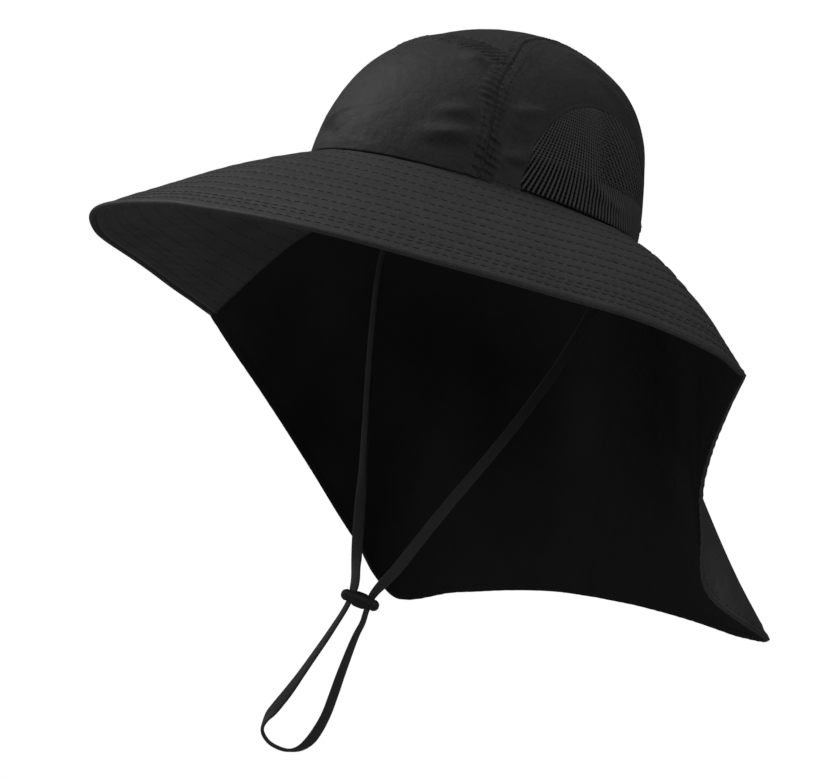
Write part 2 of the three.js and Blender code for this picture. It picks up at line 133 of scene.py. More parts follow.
# The cord, which is a little wider and thinner than its solid, and the slider on it
CORD_WIDTH = 6
CORD_THICKNESS = 1.9
SLIDER_PLACE = np.array([0, -8.5, -225])
SLIDER_LENGTH = 21.6
SLIDER_HEIGHT = 8.6
SLIDER_DEPTH = 9.6
SLIDER_TURN = 42
SLIDER_TILT = 8
SLIDER_HOLE = 5.8
SLIDER_HOLE_SPACING = 10.6
SLIDER_BLUNTNESS = 0.7
SLIDER_RIM = 0.45
# The cord from just under the brim, beside the ring on the wearer's left, down to the slider
STRAND = [
    (78.3, 31.0, -6.4), (82.5, 32.8, -26), (79.7, 30.8, -42), (71.8, 27.3, -70), (60.7, 22.1, -100),
    (47.9, 15.7, -130), (34.2, 8.0, -160), (21.3, 0.8, -190), (14.7, -2.3, -205),
]
# The loop below the slider: each place along the slider's line and how far below its middle
LOOP = [
    (4.2, 11.5), (2.4, 19), (-0.6, 41), (-1.8, 53), (-3.2, 64), (-5.4, 72.5), (-8.4, 79.6), (-13, 84.9),
    (-18.5, 87.2), (-24.5, 87), (-30.2, 84.9), (-34.4, 80), (-33.8, 74), (-30.1, 66), (-25.4, 56),
    (-16.2, 33), (-10.8, 18.7),
]


# Curves and fields

def table_curve(rows, key, column):
    """A smooth curve through one column of a table, against another column that rises down the table."""
    at = np.array([row[key] for row in rows], float)
    value = np.array([row[column] for row in rows], float)
    slope = np.gradient(value, at)
    slope[1:-1] = (value[2:] - value[:-2]) / (at[2:] - at[:-2])

    def curve(place):
        place = np.asarray(place, float)
        i = np.clip(np.searchsorted(at, place, side="right") - 1, 0, len(at) - 2)
        span = at[i + 1] - at[i]
        t = np.clip((place - at[i]) / span, 0, 1)
        ease = t * t * (3 - 2 * t)
        leave = span * slope[i] * t * (1 - t) ** 2
        arrive = span * slope[i + 1] * t * t * (1 - t)
        return value[i] * (1 - ease) + value[i + 1] * ease + leave - arrive

    return curve


def smooth_step(value, low, high):
    t = np.clip((value - low) / (high - low), 0, 1)
    return t * t * (3 - 2 * t)


def bump(value, middle, width):
    """A soft hill of height 1 over the middle, that fades within about twice the width."""
    return np.exp(-((value - middle) / width) ** 2)


def wander(place, pitch, seed):
    """A smooth random curve between about -1 and 1 that turns once in each pitch, the same in every run."""
    random = np.random.default_rng(seed)
    steps = random.uniform(-1, 1, 4096)
    spot = np.asarray(place, float) / pitch + 2048
    i = np.clip(np.floor(spot).astype(int), 1, 4092)
    t = smooth_step(spot - np.floor(spot), 0, 1)
    return steps[i] * (1 - t) + steps[i + 1] * t


def ripple(u, v, pitch_u, pitch_v, seed):
    """A smooth random field over a cloth, whose hills are the two pitches long."""
    random = np.random.default_rng(seed)
    steps = random.uniform(-1, 1, (256, 256))
    spot_u = np.asarray(u, float) / pitch_u + 128
    spot_v = np.asarray(v, float) / pitch_v + 128
    i = np.floor(spot_u).astype(int)
    j = np.floor(spot_v).astype(int)
    a = smooth_step(spot_u - i, 0, 1)
    b = smooth_step(spot_v - j, 0, 1)
    i = i % 255
    j = j % 255
    low = steps[i, j] * (1 - a) + steps[i + 1, j] * a
    high = steps[i, j + 1] * (1 - a) + steps[i + 1, j + 1] * a
    return low * (1 - b) + high * b


def catmull_rom(points, share):
    """Points on the centripetal curve through the given ones. points is (..., n, 3), share 0 to 1."""
    points = np.asarray(points, float)
    count = points.shape[-2]
    first = 2 * points[..., :1, :] - points[..., 1:2, :]
    last = 2 * points[..., -1:, :] - points[..., -2:-1, :]
    padded = np.concatenate([first, points, last], axis=-2)
    knot = np.linalg.norm(np.diff(padded, axis=-2), axis=-1, keepdims=True) ** 0.5
    share = np.asarray(share, float)
    spot = np.clip(share, 0, 1) * (count - 1)
    i = np.minimum(spot.astype(int), count - 2)
    t = (spot - i)[..., None]
    p0, p1, p2, p3 = (padded[..., i + k, :] for k in range(4))
    k0, k1, k2 = (knot[..., i + k, :] for k in range(3))
    leave = k1 * ((p1 - p0) / k0 - (p2 - p0) / (k0 + k1) + (p2 - p1) / k1)
    arrive = k1 * ((p2 - p1) / k1 - (p3 - p1) / (k1 + k2) + (p3 - p2) / k2)
    square = -3 * p1 + 3 * p2 - 2 * leave - arrive
    cube = 2 * p1 - 2 * p2 + leave + arrive
    return p1 + leave * t + square * t * t + cube * t ** 3


def line_run(points):
    """How far along a line each of its points lies."""
    return np.concatenate([[0], np.cumsum(np.linalg.norm(np.diff(points, axis=0), axis=1))])


def even_spacing(points, count):
    """The same line with count points, evenly spaced along it."""
    run = line_run(points)
    at = np.linspace(0, run[-1], count)
    return np.stack([np.interp(at, run, points[:, k]) for k in range(points.shape[1])], axis=1)


def unit(vectors):
    return vectors / np.maximum(np.linalg.norm(vectors, axis=-1, keepdims=True), 1e-9)


def grid_normals(grid):
    """The side of a grid of points that along x across points to."""
    along = np.gradient(grid, axis=0)
    across = np.gradient(grid, axis=1)
    return unit(np.cross(along, across))


def grid_runs(grid):
    """How far each point of a grid lies from the first row and from the first column, along the cloth."""
    along = np.linalg.norm(np.diff(grid, axis=0), axis=2)
    across = np.linalg.norm(np.diff(grid, axis=1), axis=2)
    run_along = np.zeros(grid.shape[:2])
    run_along[1:] = np.cumsum(along, axis=0)
    run_across = np.zeros(grid.shape[:2])
    run_across[:, 1:] = np.cumsum(across, axis=1)
    return run_along, run_across


# The hat's surfaces

level_length = table_curve(CROWN_LEVELS, "rise", "half_length")
level_width = table_curve(CROWN_LEVELS, "rise", "half_width")
level_lean = table_curve(CROWN_LEVELS, "rise", "lean")
long_seam = table_curve(LONG_SEAM, "back", "side")
cross_seam = table_curve(CROSS_SEAM, "side", "back")
edge_out = table_curve(BRIM_EDGE, "angle", "out")
edge_down = table_curve(BRIM_EDGE, "angle", "down")
edge_arch = table_curve(BRIM_EDGE, "angle", "arch")
flap_curves = {name: table_curve(FLAP_SECTIONS, "angle", name) for name in FLAP_COLUMNS.split()[1:]}


def crown_point(angle, rise, inset=0):
    turn = np.radians(angle)
    quarter = rise * np.pi / 2
    egg = RING_EGG * (1 - rise)
    half_width = (level_width(rise) - inset) * np.cos(quarter) * (1 - egg * np.cos(turn))
    half_length = (level_length(rise) - inset) * np.cos(quarter)
    return np.stack([
        half_width * np.sin(turn),
        level_lean(rise) - half_length * np.cos(turn),
        GAP + (CROWN_HEIGHT - inset) * np.sin(quarter) + 0 * turn,
    ], axis=-1)


def ring_point(angle, inset):
    point = crown_point(angle, np.zeros_like(np.asarray(angle, float)), inset)
    point[..., 2] = 0
    return point


def outward(angle, out, down):
    turn = np.radians(angle)
    return np.stack([out * np.sin(turn), -out * np.cos(turn), -down + 0 * turn], axis=-1)


def brim_edge_point(angle):
    return outward(angle, edge_out(np.abs(angle)), edge_down(np.abs(angle)))


def brim_point(angle, share):
    """A point of the brim's upper side, whose outer end leaves room for the tape at the edge."""
    ring = ring_point(angle, TURNED_IN)
    edge = brim_edge_point(angle)
    edge = edge + unit(ring - edge) * (2 * EDGE_TAPE_RADIUS + GAP)
    share = np.asarray(share, float)[..., None]
    point = ring * (1 - share) + edge * share
    point[..., 2] += edge_arch(np.abs(angle)) * 4 * share[..., 0] * (1 - share[..., 0])
    return point


def brim_facing(angle, share):
    """The side that the brim's upper face looks to."""
    along = brim_point(angle + 0.5, share) - brim_point(angle - 0.5, share)
    outwards = brim_point(angle, share + 0.01) - brim_point(angle, share - 0.01)
    return unit(np.cross(outwards, along))


def flap_point(angle, share):
    """The flap's outer side at each angle, at one share of the way down."""
    away = np.where(angle > 180, 360 - angle, angle)
    row = {name: curve(away) for name, curve in flap_curves.items()}
    section = [ring_point(angle, TURNED_IN)]
    for place in ("knee", "mid", "end"):
        section.append(outward(angle, row[f"{place}_out"], row[f"{place}_down"]))
    point = catmull_rom(np.stack(section, axis=-2), share)
    rising = smooth_step(away, TILT_FROM_ANGLE, FLAP_CORNER_ANGLE)
    reached = rising * (1 - smooth_step(away, FLAP_CORNER_ANGLE, TILT_TO_ANGLE))
    point[..., 2] += HEM_TILT * reached * share ** 2 * point[..., 0] / HEM_TILT_REACH
    return point


# Meshes

def new_object(name, mesh, finishes):
    for finish in finishes:
        mesh.materials.append(finish)
    made = bpy.data.objects.new(name, mesh)
    bpy.context.scene.collection.objects.link(made)
    return made


def mesh_from(name, points, faces, finishes, slots=None, cloth_map=None):
    """A smooth mesh from points in millimetres. cloth_map is a place on the flat cloth for each point."""
    mesh = bpy.data.meshes.new(name)
    mesh.from_pydata((np.asarray(points, float) * MM).tolist(), [], [tuple(face) for face in faces])
    mesh.shade_smooth()
    if slots is not None:
        mesh.polygons.foreach_set("material_index", np.asarray(slots, np.int32))
    if cloth_map is not None:
        corner = np.zeros(len(mesh.loops), np.int32)
        mesh.loops.foreach_get("vertex_index", corner)
        layer = mesh.uv_layers.new(name="cloth")
        flat = np.asarray(cloth_map, np.float32)[corner] * MM
        layer.uv.foreach_set("vector", flat.ravel())
    return new_object(name, mesh, finishes)


def weld(made, distance=0.02):
    """Joins points that lie on each other and drops the faces that this leaves without an area."""
    shape = bmesh.new()
    shape.from_mesh(made.data)
    bmesh.ops.remove_doubles(shape, verts=shape.verts, dist=distance * MM)
    bmesh.ops.dissolve_degenerate(shape, edges=shape.edges, dist=distance * MM / 4)
    bmesh.ops.triangulate(shape, faces=[face for face in shape.faces if len(face.verts) > 4])
    shape.to_mesh(made.data)
    shape.free()
    return made


def grid_faces(columns, rows, start=0, turned=False):
    i, j = np.meshgrid(np.arange(columns - 1), np.arange(rows - 1), indexing="ij")
    corner = start + i * rows + j
    quad = np.stack([corner, corner + rows, corner + rows + 1, corner + 1], axis=-1).reshape(-1, 4)
    return quad[:, ::-1] if turned else quad


def sheet(name, face, back, finishes, cloth=None):
    """A sheet of cloth between two grids of points. Its face looks to where along x across points."""
    columns, rows = face.shape[:2]
    count = columns * rows
    front = grid_faces(columns, rows)
    rear = grid_faces(columns, rows, count, turned=True)
    i = np.arange(columns - 1)
    j = np.arange(rows - 1)
    near = (i * rows, rows, False)
    far = (i * rows + rows - 1, rows, True)
    left = (j, 1, True)
    right = ((columns - 1) * rows + j, 1, False)
    rims = []
    for edge, step, turned in (near, far, left, right):
        quad = np.stack([edge, edge + count, edge + step + count, edge + step], axis=-1)
        rims.append(quad[:, [0, 3, 2, 1]] if turned else quad)
    rim = np.concatenate(rims)
    slots = np.concatenate([np.zeros(len(front)), np.ones(len(rear)), np.zeros(len(rim))])
    if cloth is None:
        cloth = np.stack(grid_runs(face), axis=-1)
    flat = cloth.reshape(-1, 2)
    points = np.concatenate([face.reshape(-1, 3), back.reshape(-1, 3)])
    faces = np.concatenate([front, rear, rim])
    return weld(mesh_from(name, points, faces, finishes, slots, np.concatenate([flat, flat])))


def ring_faces(rings, sides):
    """The faces between the closed rings of a tube."""
    faces = []
    for low in range(0, (rings - 1) * sides, sides):
        for s in range(sides):
            after = (s + 1) % sides
            faces.append((low + s, low + after, low + sides + after, low + sides + s))
    return faces


def tube_parts(line, across, up, section):
    """Points and faces of a closed tube. across and up are the section's own directions at each point."""
    count = len(section)
    rings = (
        line[:, None, :]
        + section[None, :, :1] * across[:, None, :]
        + section[None, :, 1:] * up[:, None, :]
    )
    points = rings.reshape(-1, 3)
    caps = [tuple(range(count))[::-1], tuple(range(len(points) - count, len(points)))]
    return points, ring_faces(len(line), count) + caps


def cloth_tube(name, line, run, across, up, section, around, finish):
    """A closed tube of cloth, mapped by the run along it and a place around its section."""
    flat = np.stack([np.repeat(run, len(section)), np.tile(around, len(line))], axis=1)
    return mesh_from(name, *tube_parts(line, across, up, section), [finish], cloth_map=flat)


def oval(width, height, sides, squareness=2.0):
    turn = np.arange(sides) * 2 * np.pi / sides
    power = 2 / squareness
    x = np.sign(np.cos(turn)) * np.abs(np.cos(turn)) ** power * width / 2
    y = np.sign(np.sin(turn)) * np.abs(np.sin(turn)) ** power * height / 2
    return np.stack([x, y], axis=1)


class Bundle:
    """Many small closed parts that become one mesh, such as stitches or the strands of a net."""

    def __init__(self):
        self.points = []
        self.faces = []
        self.count = 0

    def add(self, points, faces):
        self.points.append(points)
        self.faces.extend(tuple(corner + self.count for corner in face) for face in faces)
        self.count += len(points)

    def make(self, name, finishes):
        return mesh_from(name, np.concatenate(self.points), self.faces, finishes)


def add_strand(bundle, line, facing, width, height, sides=6):
    """One thread or rib along a line, its flat side facing the way given. width may vary along it."""
    along = unit(np.gradient(line, axis=0))
    across = unit(np.cross(along, facing))
    up = np.cross(across, along) * height
    bundle.add(*tube_parts(line, across * np.reshape(width, (-1, 1)), up, oval(1, 1, sides)))


def add_stitches(bundle, line, facing, pitch, length, thread, sunk):
    """A row of stitches on the cloth, sunk by a share of the thread. facing is the cloth's outer side."""
    run = line_run(line)
    count = max(int(run[-1] / pitch), 1)
    shape = np.array([0, 0.22, 0.78, 1]) - 0.5
    swell = np.array([0.35, 1, 1, 0.35])
    lift = np.array([-0.75, 0, 0, -0.75]) * thread
    starts = (np.arange(count) + 0.5) * run[-1] / count
    at = starts[:, None] + shape[None, :] * length
    spots = np.stack([np.interp(at, run, line[:, k]) for k in range(3)], axis=-1)
    normal = unit(np.stack([np.interp(at, run, facing[:, k]) for k in range(3)], axis=-1))
    spots = spots + normal * (thread / 2 - sunk * thread + lift)[None, :, None]
    section = oval(thread, thread, 6)
    for k in range(count):
        along = unit(np.gradient(spots[k], axis=0))
        across = unit(np.cross(along, normal[k])) * swell[:, None]
        bundle.add(*tube_parts(spots[k], across, np.cross(across, along), section))


def settle(piece, slot, *nodes):
    """Puts a piece on the hat and hides the solids that it stands for. Its slot is not used."""
    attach(piece, "root")
    if nodes:
        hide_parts(*nodes)


# Shader building

class Channel:
    """A socket that carries a number. Operators on it add Math nodes."""

    def __init__(self, finish, socket):
        self.finish = finish
        self.socket = socket

    def math(self, operation, *values):
        inputs = dict(enumerate(values))
        return self.finish.node("ShaderNodeMath", {"operation": operation}, inputs)

    def __add__(self, other):
        return self.math("ADD", self, other)

    def __radd__(self, other):
        return self.math("ADD", other, self)

    def __mul__(self, other):
        return self.math("MULTIPLY", self, other)

    def __rmul__(self, other):
        return self.math("MULTIPLY", other, self)

    def __abs__(self):
        return self.math("ABSOLUTE", self)

    def sine(self):
        return self.math("SINE", self)

    def between(self, low, high):
        """0 below low, 1 above high and smooth between them."""
        values = {"Value": self, "From Min": low, "From Max": high}
        return self.finish.node("ShaderNodeMapRange", {"interpolation_type": "SMOOTHSTEP"}, values)


class Nodes:
    """A node tree and the one way in which its nodes are made."""

    def __init__(self, tree):
        self.tree = tree

    def node(self, kind, settings=None, values=None, output=0):
        made = self.tree.nodes.new(kind)
        for name, value in (settings or {}).items():
            if name == "stops":
                self.set_stops(made.color_ramp, value)
            else:
                setattr(made, name, value)
        for key, value in (values or {}).items():
            self.feed(made.inputs[key], value)
        return Channel(self, made.outputs[output])

    def set_stops(self, ramp, stops):
        while len(ramp.elements) < len(stops):
            ramp.elements.new(1)
        for element, (place, grey) in zip(ramp.elements, stops):
            element.position = place
            element.color = (grey, grey, grey, 1)

    def feed(self, socket, value):
        if isinstance(value, Channel):
            self.tree.links.new(value.socket, socket)
        else:
            socket.default_value = value


class Finish(Nodes):
    """A material with one Principled shader."""

    def __init__(self, name, **constants):
        self.material = bpy.data.materials.new(name)
        self.material.use_nodes = True
        super().__init__(self.material.node_tree)
        self.tree.nodes.clear()
        self.shader = self.tree.nodes.new("ShaderNodeBsdfPrincipled")
        output = self.tree.nodes.new("ShaderNodeOutputMaterial")
        self.tree.links.new(self.shader.outputs[0], output.inputs[0])
        for socket, value in constants.items():
            self.shader.inputs[socket.replace("_", " ")].default_value = value

    def place(self, kind="Object"):
        return self.node("ShaderNodeTexCoord", output=kind)

    def cloth_place(self):
        """Where a point lies on the flat cloth, in metres."""
        return self.node("ShaderNodeUVMap", {"uv_map": "cloth"})

    def noise(self, where, size, detail=2):
        """Soft random patches of about this size in millimetres, from 0 to 1."""
        values = {"Vector": where, "Scale": 1 / (size * MM), "Detail": detail}
        return self.node("ShaderNodeTexNoise", None, values)

    def split(self, where):
        made = self.tree.nodes.new("ShaderNodeSeparateXYZ")
        self.feed(made.inputs[0], where)
        return [Channel(self, made.outputs[k]) for k in range(3)]

    def tint(self, low, high, share):
        """A grey between two, by a share from 0 to 1."""
        stops = [(0, low), (1, high)]
        return self.node("ShaderNodeValToRGB", {"stops": stops}, {"Fac": share})

    def relief(self, height, depth, under=None):
        """A bump as deep as the given millimetres where the height goes from 0 to 1."""
        values = {"Height": height, "Distance": depth * MM, "Strength": 1.0}
        if under is not None:
            values["Normal"] = under
        return self.node("ShaderNodeBump", None, values)

    def finish(self, **links):
        for socket, value in links.items():
            self.feed(self.shader.inputs[socket.replace("_", " ")], value)
        return self.material


THREAD_PITCH = 0.45
SPECK_SIZE = 1.5
SLUB_SIZE = 1.4
CRINKLE_SIZE = 7
TONE_SIZE = 30


def woven_cloth(
    name, dark, light, roughness=0.5, gloss=0.35, sheen=0.03, grain=0.3, depth=0.05, crinkled=0.25,
):
    """Plain woven nylon: threads over and under each other, slubs along them and slow changes of tone."""
    cloth = Finish(name, Sheen_Weight=sheen, Sheen_Roughness=0.45, Specular_IOR_Level=gloss)
    along, across, _ = cloth.split(cloth.cloth_place())
    wave = math.pi / (THREAD_PITCH * MM)
    weave = (along * wave).sine() * (across * wave).sine() * 0.5 + 0.5
    speck = cloth.noise(cloth.place(), SPECK_SIZE, 3)
    streak = cloth.node("ShaderNodeMapping", None, {"Vector": cloth.place(), "Scale": (1, 1, 0.08)})
    slub = cloth.noise(streak, SLUB_SIZE, 2)
    tone = cloth.noise(cloth.place(), TONE_SIZE, 3)
    crinkle = cloth.noise(cloth.place(), CRINKLE_SIZE, 2)
    fine = speck.between(0.25, 0.75) * 0.7 + slub * 0.3
    # Part of the colour follows the weave, darker where its threads dip: painted shade. The rest is random
    # tone and grain.
    shade = tone.between(0.3, 0.7) * (0.9 - grain) + fine * grain + weave * 0.1
    return cloth.finish(
        Base_Color=cloth.tint(dark, light, shade),
        Roughness=fine * 0.12 + (roughness - 0.06),
        Normal=cloth.relief(weave * 0.4 + fine * 0.6, depth, cloth.relief(crinkle, crinkled)),
    )


def yarn_finish(name, dark, light, twist, detail, roughness, depth, gloss, sheen=0.0):
    """Sewing thread or a strand of mesh. roughness gives the lowest and how far it varies."""
    yarn = Finish(name, Sheen_Weight=sheen, Specular_IOR_Level=gloss)
    ply = yarn.noise(yarn.place(), twist, detail)
    lowest, spread = roughness
    return yarn.finish(
        Base_Color=yarn.tint(dark, light, ply),
        Roughness=ply * spread + lowest,
        Normal=yarn.relief(ply, depth),
    )


def cord_finish():
    """A flat knitted cord: two rows of slanting ribs that meet along its middle."""
    cord = Finish("flat_cord", Sheen_Weight=0.15, Sheen_Roughness=0.5, Specular_IOR_Level=0.3)
    along, across, _ = cord.split(cord.cloth_place())
    slant = abs(across) * 1.6
    rib = ((along + slant) * (2 * math.pi / (1.3 * MM))).sine() * 0.5 + 0.5
    fuzz = cord.noise(cord.place(), 0.5, 2)
    # The colour follows the ribs, darker in the grooves between them: painted shade, mixed with random fuzz
    # of the yarn.
    shade = rib * 0.6 + fuzz * 0.4
    return cord.finish(
        Base_Color=cord.tint(0.024, 0.062, shade),
        Roughness=fuzz * 0.2 + 0.6,
        Normal=cord.relief(rib * 0.8 + fuzz * 0.2, 0.16),
    )


def slider_finish():
    plastic = Finish("moulded_slider", Specular_IOR_Level=0.5)
    grain = plastic.noise(plastic.place(), 0.6, 3)
    wear = plastic.noise(plastic.place(), 5, 2)
    return plastic.finish(
        Base_Color=plastic.tint(0.008, 0.014, wear),
        Roughness=wear * 0.15 + 0.5,
        Normal=plastic.relief(grain, 0.08),
    )


# Camera, light and floor

def camera_axes():
    azimuth = math.radians(CAMERA_AZIMUTH)
    elevation = math.radians(CAMERA_ELEVATION)
    back = Vector((
        math.sin(azimuth) * math.cos(elevation),
        -math.cos(azimuth) * math.cos(elevation),
        math.sin(elevation),
    ))
    level = (-back).cross(Vector((0, 0, 1))).normalized()
    upright = level.cross(-back)
    roll = math.radians(CAMERA_ROLL)
    right = level * math.cos(roll) + upright * math.sin(roll)
    up = upright * math.cos(roll) - level * math.sin(roll)
    return right, up, back


def make_camera():
    right, up, back = camera_axes()
    place = back * CAMERA_DISTANCE * MM
    aim = (right * AIM_RIGHT + up * AIM_UP) * MM
    ahead = (aim - place).normalized()
    true_up = (up - ahead * up.dot(ahead)).normalized()
    true_right = ahead.cross(true_up)
    data = bpy.data.cameras.new("camera")
    data.sensor_width = SENSOR_WIDTH
    data.lens = PIXELS_PER_MM * CAMERA_DISTANCE * SENSOR_WIDTH / IMAGE_WIDTH
    data.clip_start = 0.05
    data.clip_end = 30
    camera = bpy.data.objects.new("camera", data)
    turn = Matrix((true_right, true_up, -ahead)).transposed()
    camera.matrix_world = Matrix.Translation(place) @ turn.to_4x4()
    bpy.context.scene.collection.objects.link(camera)
    bpy.context.scene.camera = camera


def add_softbox(box):
    """A square soft light that looks at the hat. toward is right, up and nearer in the camera's view."""
    right, up, back = camera_axes()
    aim = Vector(LIGHT_AIM)
    along, above, behind = box["toward"]
    place = aim + (right * along + up * above + back * behind).normalized() * box["distance"]
    data = bpy.data.lights.new(box["name"], "AREA")
    data.size = box["size"]
    data.energy = box["watts"]
    light = bpy.data.objects.new(box["name"], data)
    light.location = place
    light.rotation_mode = "QUATERNION"
    light.rotation_quaternion = (aim - place).to_track_quat("-Z", "Y")
    bpy.context.scene.collection.objects.link(light)


SOFTBOXES = table(
    "name toward distance size watts",
    ("top", (0.0, 1.0, 0.0), 1.7, 1.0, 3.2),
    ("left_top", (-0.68, 1.0, -0.05), 1.8, 0.9, 11.8),
    ("far_left", (-0.75, 0.7, -0.55), 1.8, 0.9, 2.1),
    ("left", (-1.0, 0.1, 0.2), 1.9, 0.9, 2.6),
    ("right", (0.9, 0.3, 0.5), 2.0, 1.0, 2.5),
    ("low_right", (1.0, -0.02, 0.4), 1.3, 0.4, 1.2),
    ("front_high", (0.0, 0.6, 0.9), 1.9, 0.9, 3.9),
    ("rim", (0.6, 0.75, -0.75), 1.8, 0.7, 0.3),
)
LIGHT_AIM = (0, 0, -0.06)
SKY_LIGHT = 0.04
FLOOR_HALF_WIDTH = 6


def make_studio():
    """White all round to look at, with a dim light from it, soft boxes and a pale floor."""
    world = bpy.data.worlds.new("studio")
    world.use_nodes = True
    bpy.context.scene.world = world
    sky = Nodes(world.node_tree)
    background = world.node_tree.nodes["Background"]
    background.inputs["Color"].default_value = (1, 1, 1, 1)
    looked_at = sky.node("ShaderNodeLightPath")
    sky.feed(background.inputs["Strength"], looked_at * (1 - SKY_LIGHT) + SKY_LIGHT)
    half = FLOOR_HALF_WIDTH
    height = FLOOR_HEIGHT * MM
    corners = [(-half, -half, height), (half, -half, height), (half, half, height), (-half, half, height)]
    mesh = bpy.data.meshes.new("floor")
    mesh.from_pydata(corners, [], [(0, 1, 2, 3)])
    pale = Finish("pale_floor", Specular_IOR_Level=0.2)
    tone = pale.noise(pale.place(), 400, 2)
    paint = pale.finish(Base_Color=pale.tint(0.56, 0.64, tone), Roughness=tone * 0.1 + 0.6)
    new_object("floor", mesh, [paint])
    for box in SOFTBOXES:
        add_softbox(box)
    bpy.context.scene.view_settings.view_transform = "Standard"


# The chin cord and its slider

slider_axis = np.array([math.cos(math.radians(SLIDER_TURN)), math.sin(math.radians(SLIDER_TURN)), 0])


def loop_place(along, below):
    return SLIDER_PLACE + slider_axis * along - np.array([0, 0, below])


def hole_mouth(side, end):
    """Where a hole of the slider opens: side is 1 or -1 along it, end is 1 above and -1 below."""
    along = side * SLIDER_HOLE_SPACING / 2
    up = end * SLIDER_HEIGHT / 2
    lean = math.radians(SLIDER_TILT)
    return loop_place(
        along * math.cos(lean) + up * math.sin(lean),
        along * math.sin(lean) - up * math.cos(lean),
    )


def cord_route():
    left = [np.array(point) for point in STRAND]
    right = [point * (-1, 1, 1) for point in reversed(left)]
    left_hole = [hole_mouth(1, 1), hole_mouth(1, -1)]
    right_hole = [hole_mouth(-1, -1), hole_mouth(-1, 1)]
    loop = [loop_place(along, below) for along, below in LOOP]
    return np.array([*left, *left_hole, *loop, *right_hole, *right])


# How far the cord's flat face is turned away from the camera, along its length from the wearer's left
CORD_TURNS = table(
    "share turn",
    (0.0, 30), (0.12, 25), (0.25, 20), (0.298, 2), (0.322, 8), (0.345, 50), (0.358, 68), (0.378, 62),
    (0.3985, 50), (0.424, 39), (0.449, 35), (0.468, 26), (0.481, 60), (0.49, 84), (0.505, 90), (0.52, 88),
    (0.5265, 72), (0.5345, 38), (0.5505, 36), (0.573, 56), (0.599, 64), (0.642, 70), (0.655, 44),
    (0.679, 36), (0.695, 6), (0.735, 12), (0.755, 34), (0.775, 50), (1.0, 55),
)


def make_cord(finish):
    route = cord_route()
    line = even_spacing(catmull_rom(route, np.linspace(0, 1, 3000)), 420)
    length = line_run(line)[-1]
    along = unit(np.gradient(line, axis=0))
    _, _, back = camera_axes()
    seen = np.broadcast_to(np.array(back), line.shape)
    across = unit(np.cross(along, seen))
    up = np.cross(across, along)
    share = np.linspace(0, 1, len(line))
    turn = np.radians(table_curve(CORD_TURNS, "share", "turn")(share))[:, None]
    turned_across = across * np.cos(turn) + up * np.sin(turn)
    turned_up = np.cross(turned_across, along)
    section = oval(CORD_WIDTH, CORD_THICKNESS, 20, 3.2)
    run = share * length
    cord = cloth_tube("flat_chin_cord", line, run, turned_across, turned_up, section, section[:, 0], finish)
    settle(cord, "cord", "chin_cord")
    return cord, route, length


def make_slider(finish):
    """A rounded bar with two holes that the cord runs through, each with a soft rim."""
    turns = np.linspace(-0.5, 0.5, 41) * np.pi
    radius = np.cos(turns).clip(0, 1) ** SLIDER_BLUNTNESS * SLIDER_HEIGHT / 2
    reach = np.sin(turns) * SLIDER_LENGTH / 2
    sides = 48
    around = np.arange(sides) * 2 * np.pi / sides
    deep = SLIDER_DEPTH / SLIDER_HEIGHT
    points = np.stack([
        np.repeat(reach, sides),
        np.outer(radius, np.cos(around)).ravel() * deep,
        np.outer(radius, np.sin(around)).ravel(),
    ], axis=1)
    bar = weld(mesh_from("cord_slider", points, ring_faces(len(reach), sides), [finish]), 0.05)
    for side in (-1, 1):
        shape = bmesh.new()
        bmesh.ops.create_cone(
            shape, cap_ends=True, segments=40, depth=3 * SLIDER_HEIGHT * MM,
            radius1=SLIDER_HOLE / 2 * MM, radius2=SLIDER_HOLE / 2 * MM,
        )
        bmesh.ops.translate(shape, verts=shape.verts, vec=(side * SLIDER_HOLE_SPACING / 2 * MM, 0, 0))
        mesh = bpy.data.meshes.new("hole")
        shape.to_mesh(mesh)
        shape.free()
        hole = new_object("hole", mesh, [finish])
        cut = bar.modifiers.new("hole", "BOOLEAN")
        cut.object = hole
        cut.operation = "DIFFERENCE"
        cut.solver = "EXACT"
        apply_modifiers(bar)
        bpy.data.objects.remove(hole)
    rounding = bar.modifiers.new("rims", "BEVEL")
    rounding.width = SLIDER_RIM * MM
    rounding.segments = 3
    rounding.angle_limit = math.radians(40)
    apply_modifiers(bar)
    bar.data.shade_smooth()
    turn = Matrix.Rotation(math.radians(SLIDER_TURN), 4, "Z")
    tilt = Matrix.Rotation(math.radians(SLIDER_TILT), 4, "Y")
    bar.data.transform(Matrix.Translation(Vector(SLIDER_PLACE) * MM) @ (turn @ tilt))
    settle(bar, "slider_plastic", "cord_toggle")
    return bar


def apply_modifiers(made):
    graph = bpy.context.evaluated_depsgraph_get()
    shaped = bpy.data.meshes.new_from_object(made.evaluated_get(graph))
    made.modifiers.clear()
    made.data = shaped


# The crown

def halve(low, high, below):
    """The places between low and high where a test stops being true."""
    for _ in range(46):
        middle = (low + high) / 2
        keep = below(middle)
        low = np.where(keep, middle, low)
        high = np.where(keep, high, middle)
    return (low + high) / 2


def crown_reach(back, rise):
    """How far to the side the crown reaches at a place along it and a rise, and the angle of that point."""
    quarter = rise * np.pi / 2
    half_length = np.maximum(level_length(rise) * np.cos(quarter), 1e-9)
    cosine = np.clip((level_lean(rise) - back) / half_length, -1, 1)
    egg = 1 - RING_EGG * (1 - rise) * cosine
    reach = level_width(rise) * np.cos(quarter) * egg * np.sqrt(1 - cosine ** 2)
    return reach, np.degrees(np.arccos(cosine))


def to_disc(angle, rise):
    """A flat disc that stands for the crown: its rim is the ring and its middle the top."""
    turn = np.radians(angle)
    return np.stack([(1 - rise) * np.sin(turn), -(1 - rise) * np.cos(turn)], axis=-1)


def from_disc(disc):
    angle = np.degrees(np.arctan2(disc[..., 0], -disc[..., 1]))
    rise = 1 - np.hypot(disc[..., 0], disc[..., 1])
    return angle, np.clip(rise, 0, 1)


def crown_surface(disc):
    angle, rise = from_disc(disc)
    return crown_point(angle, rise)


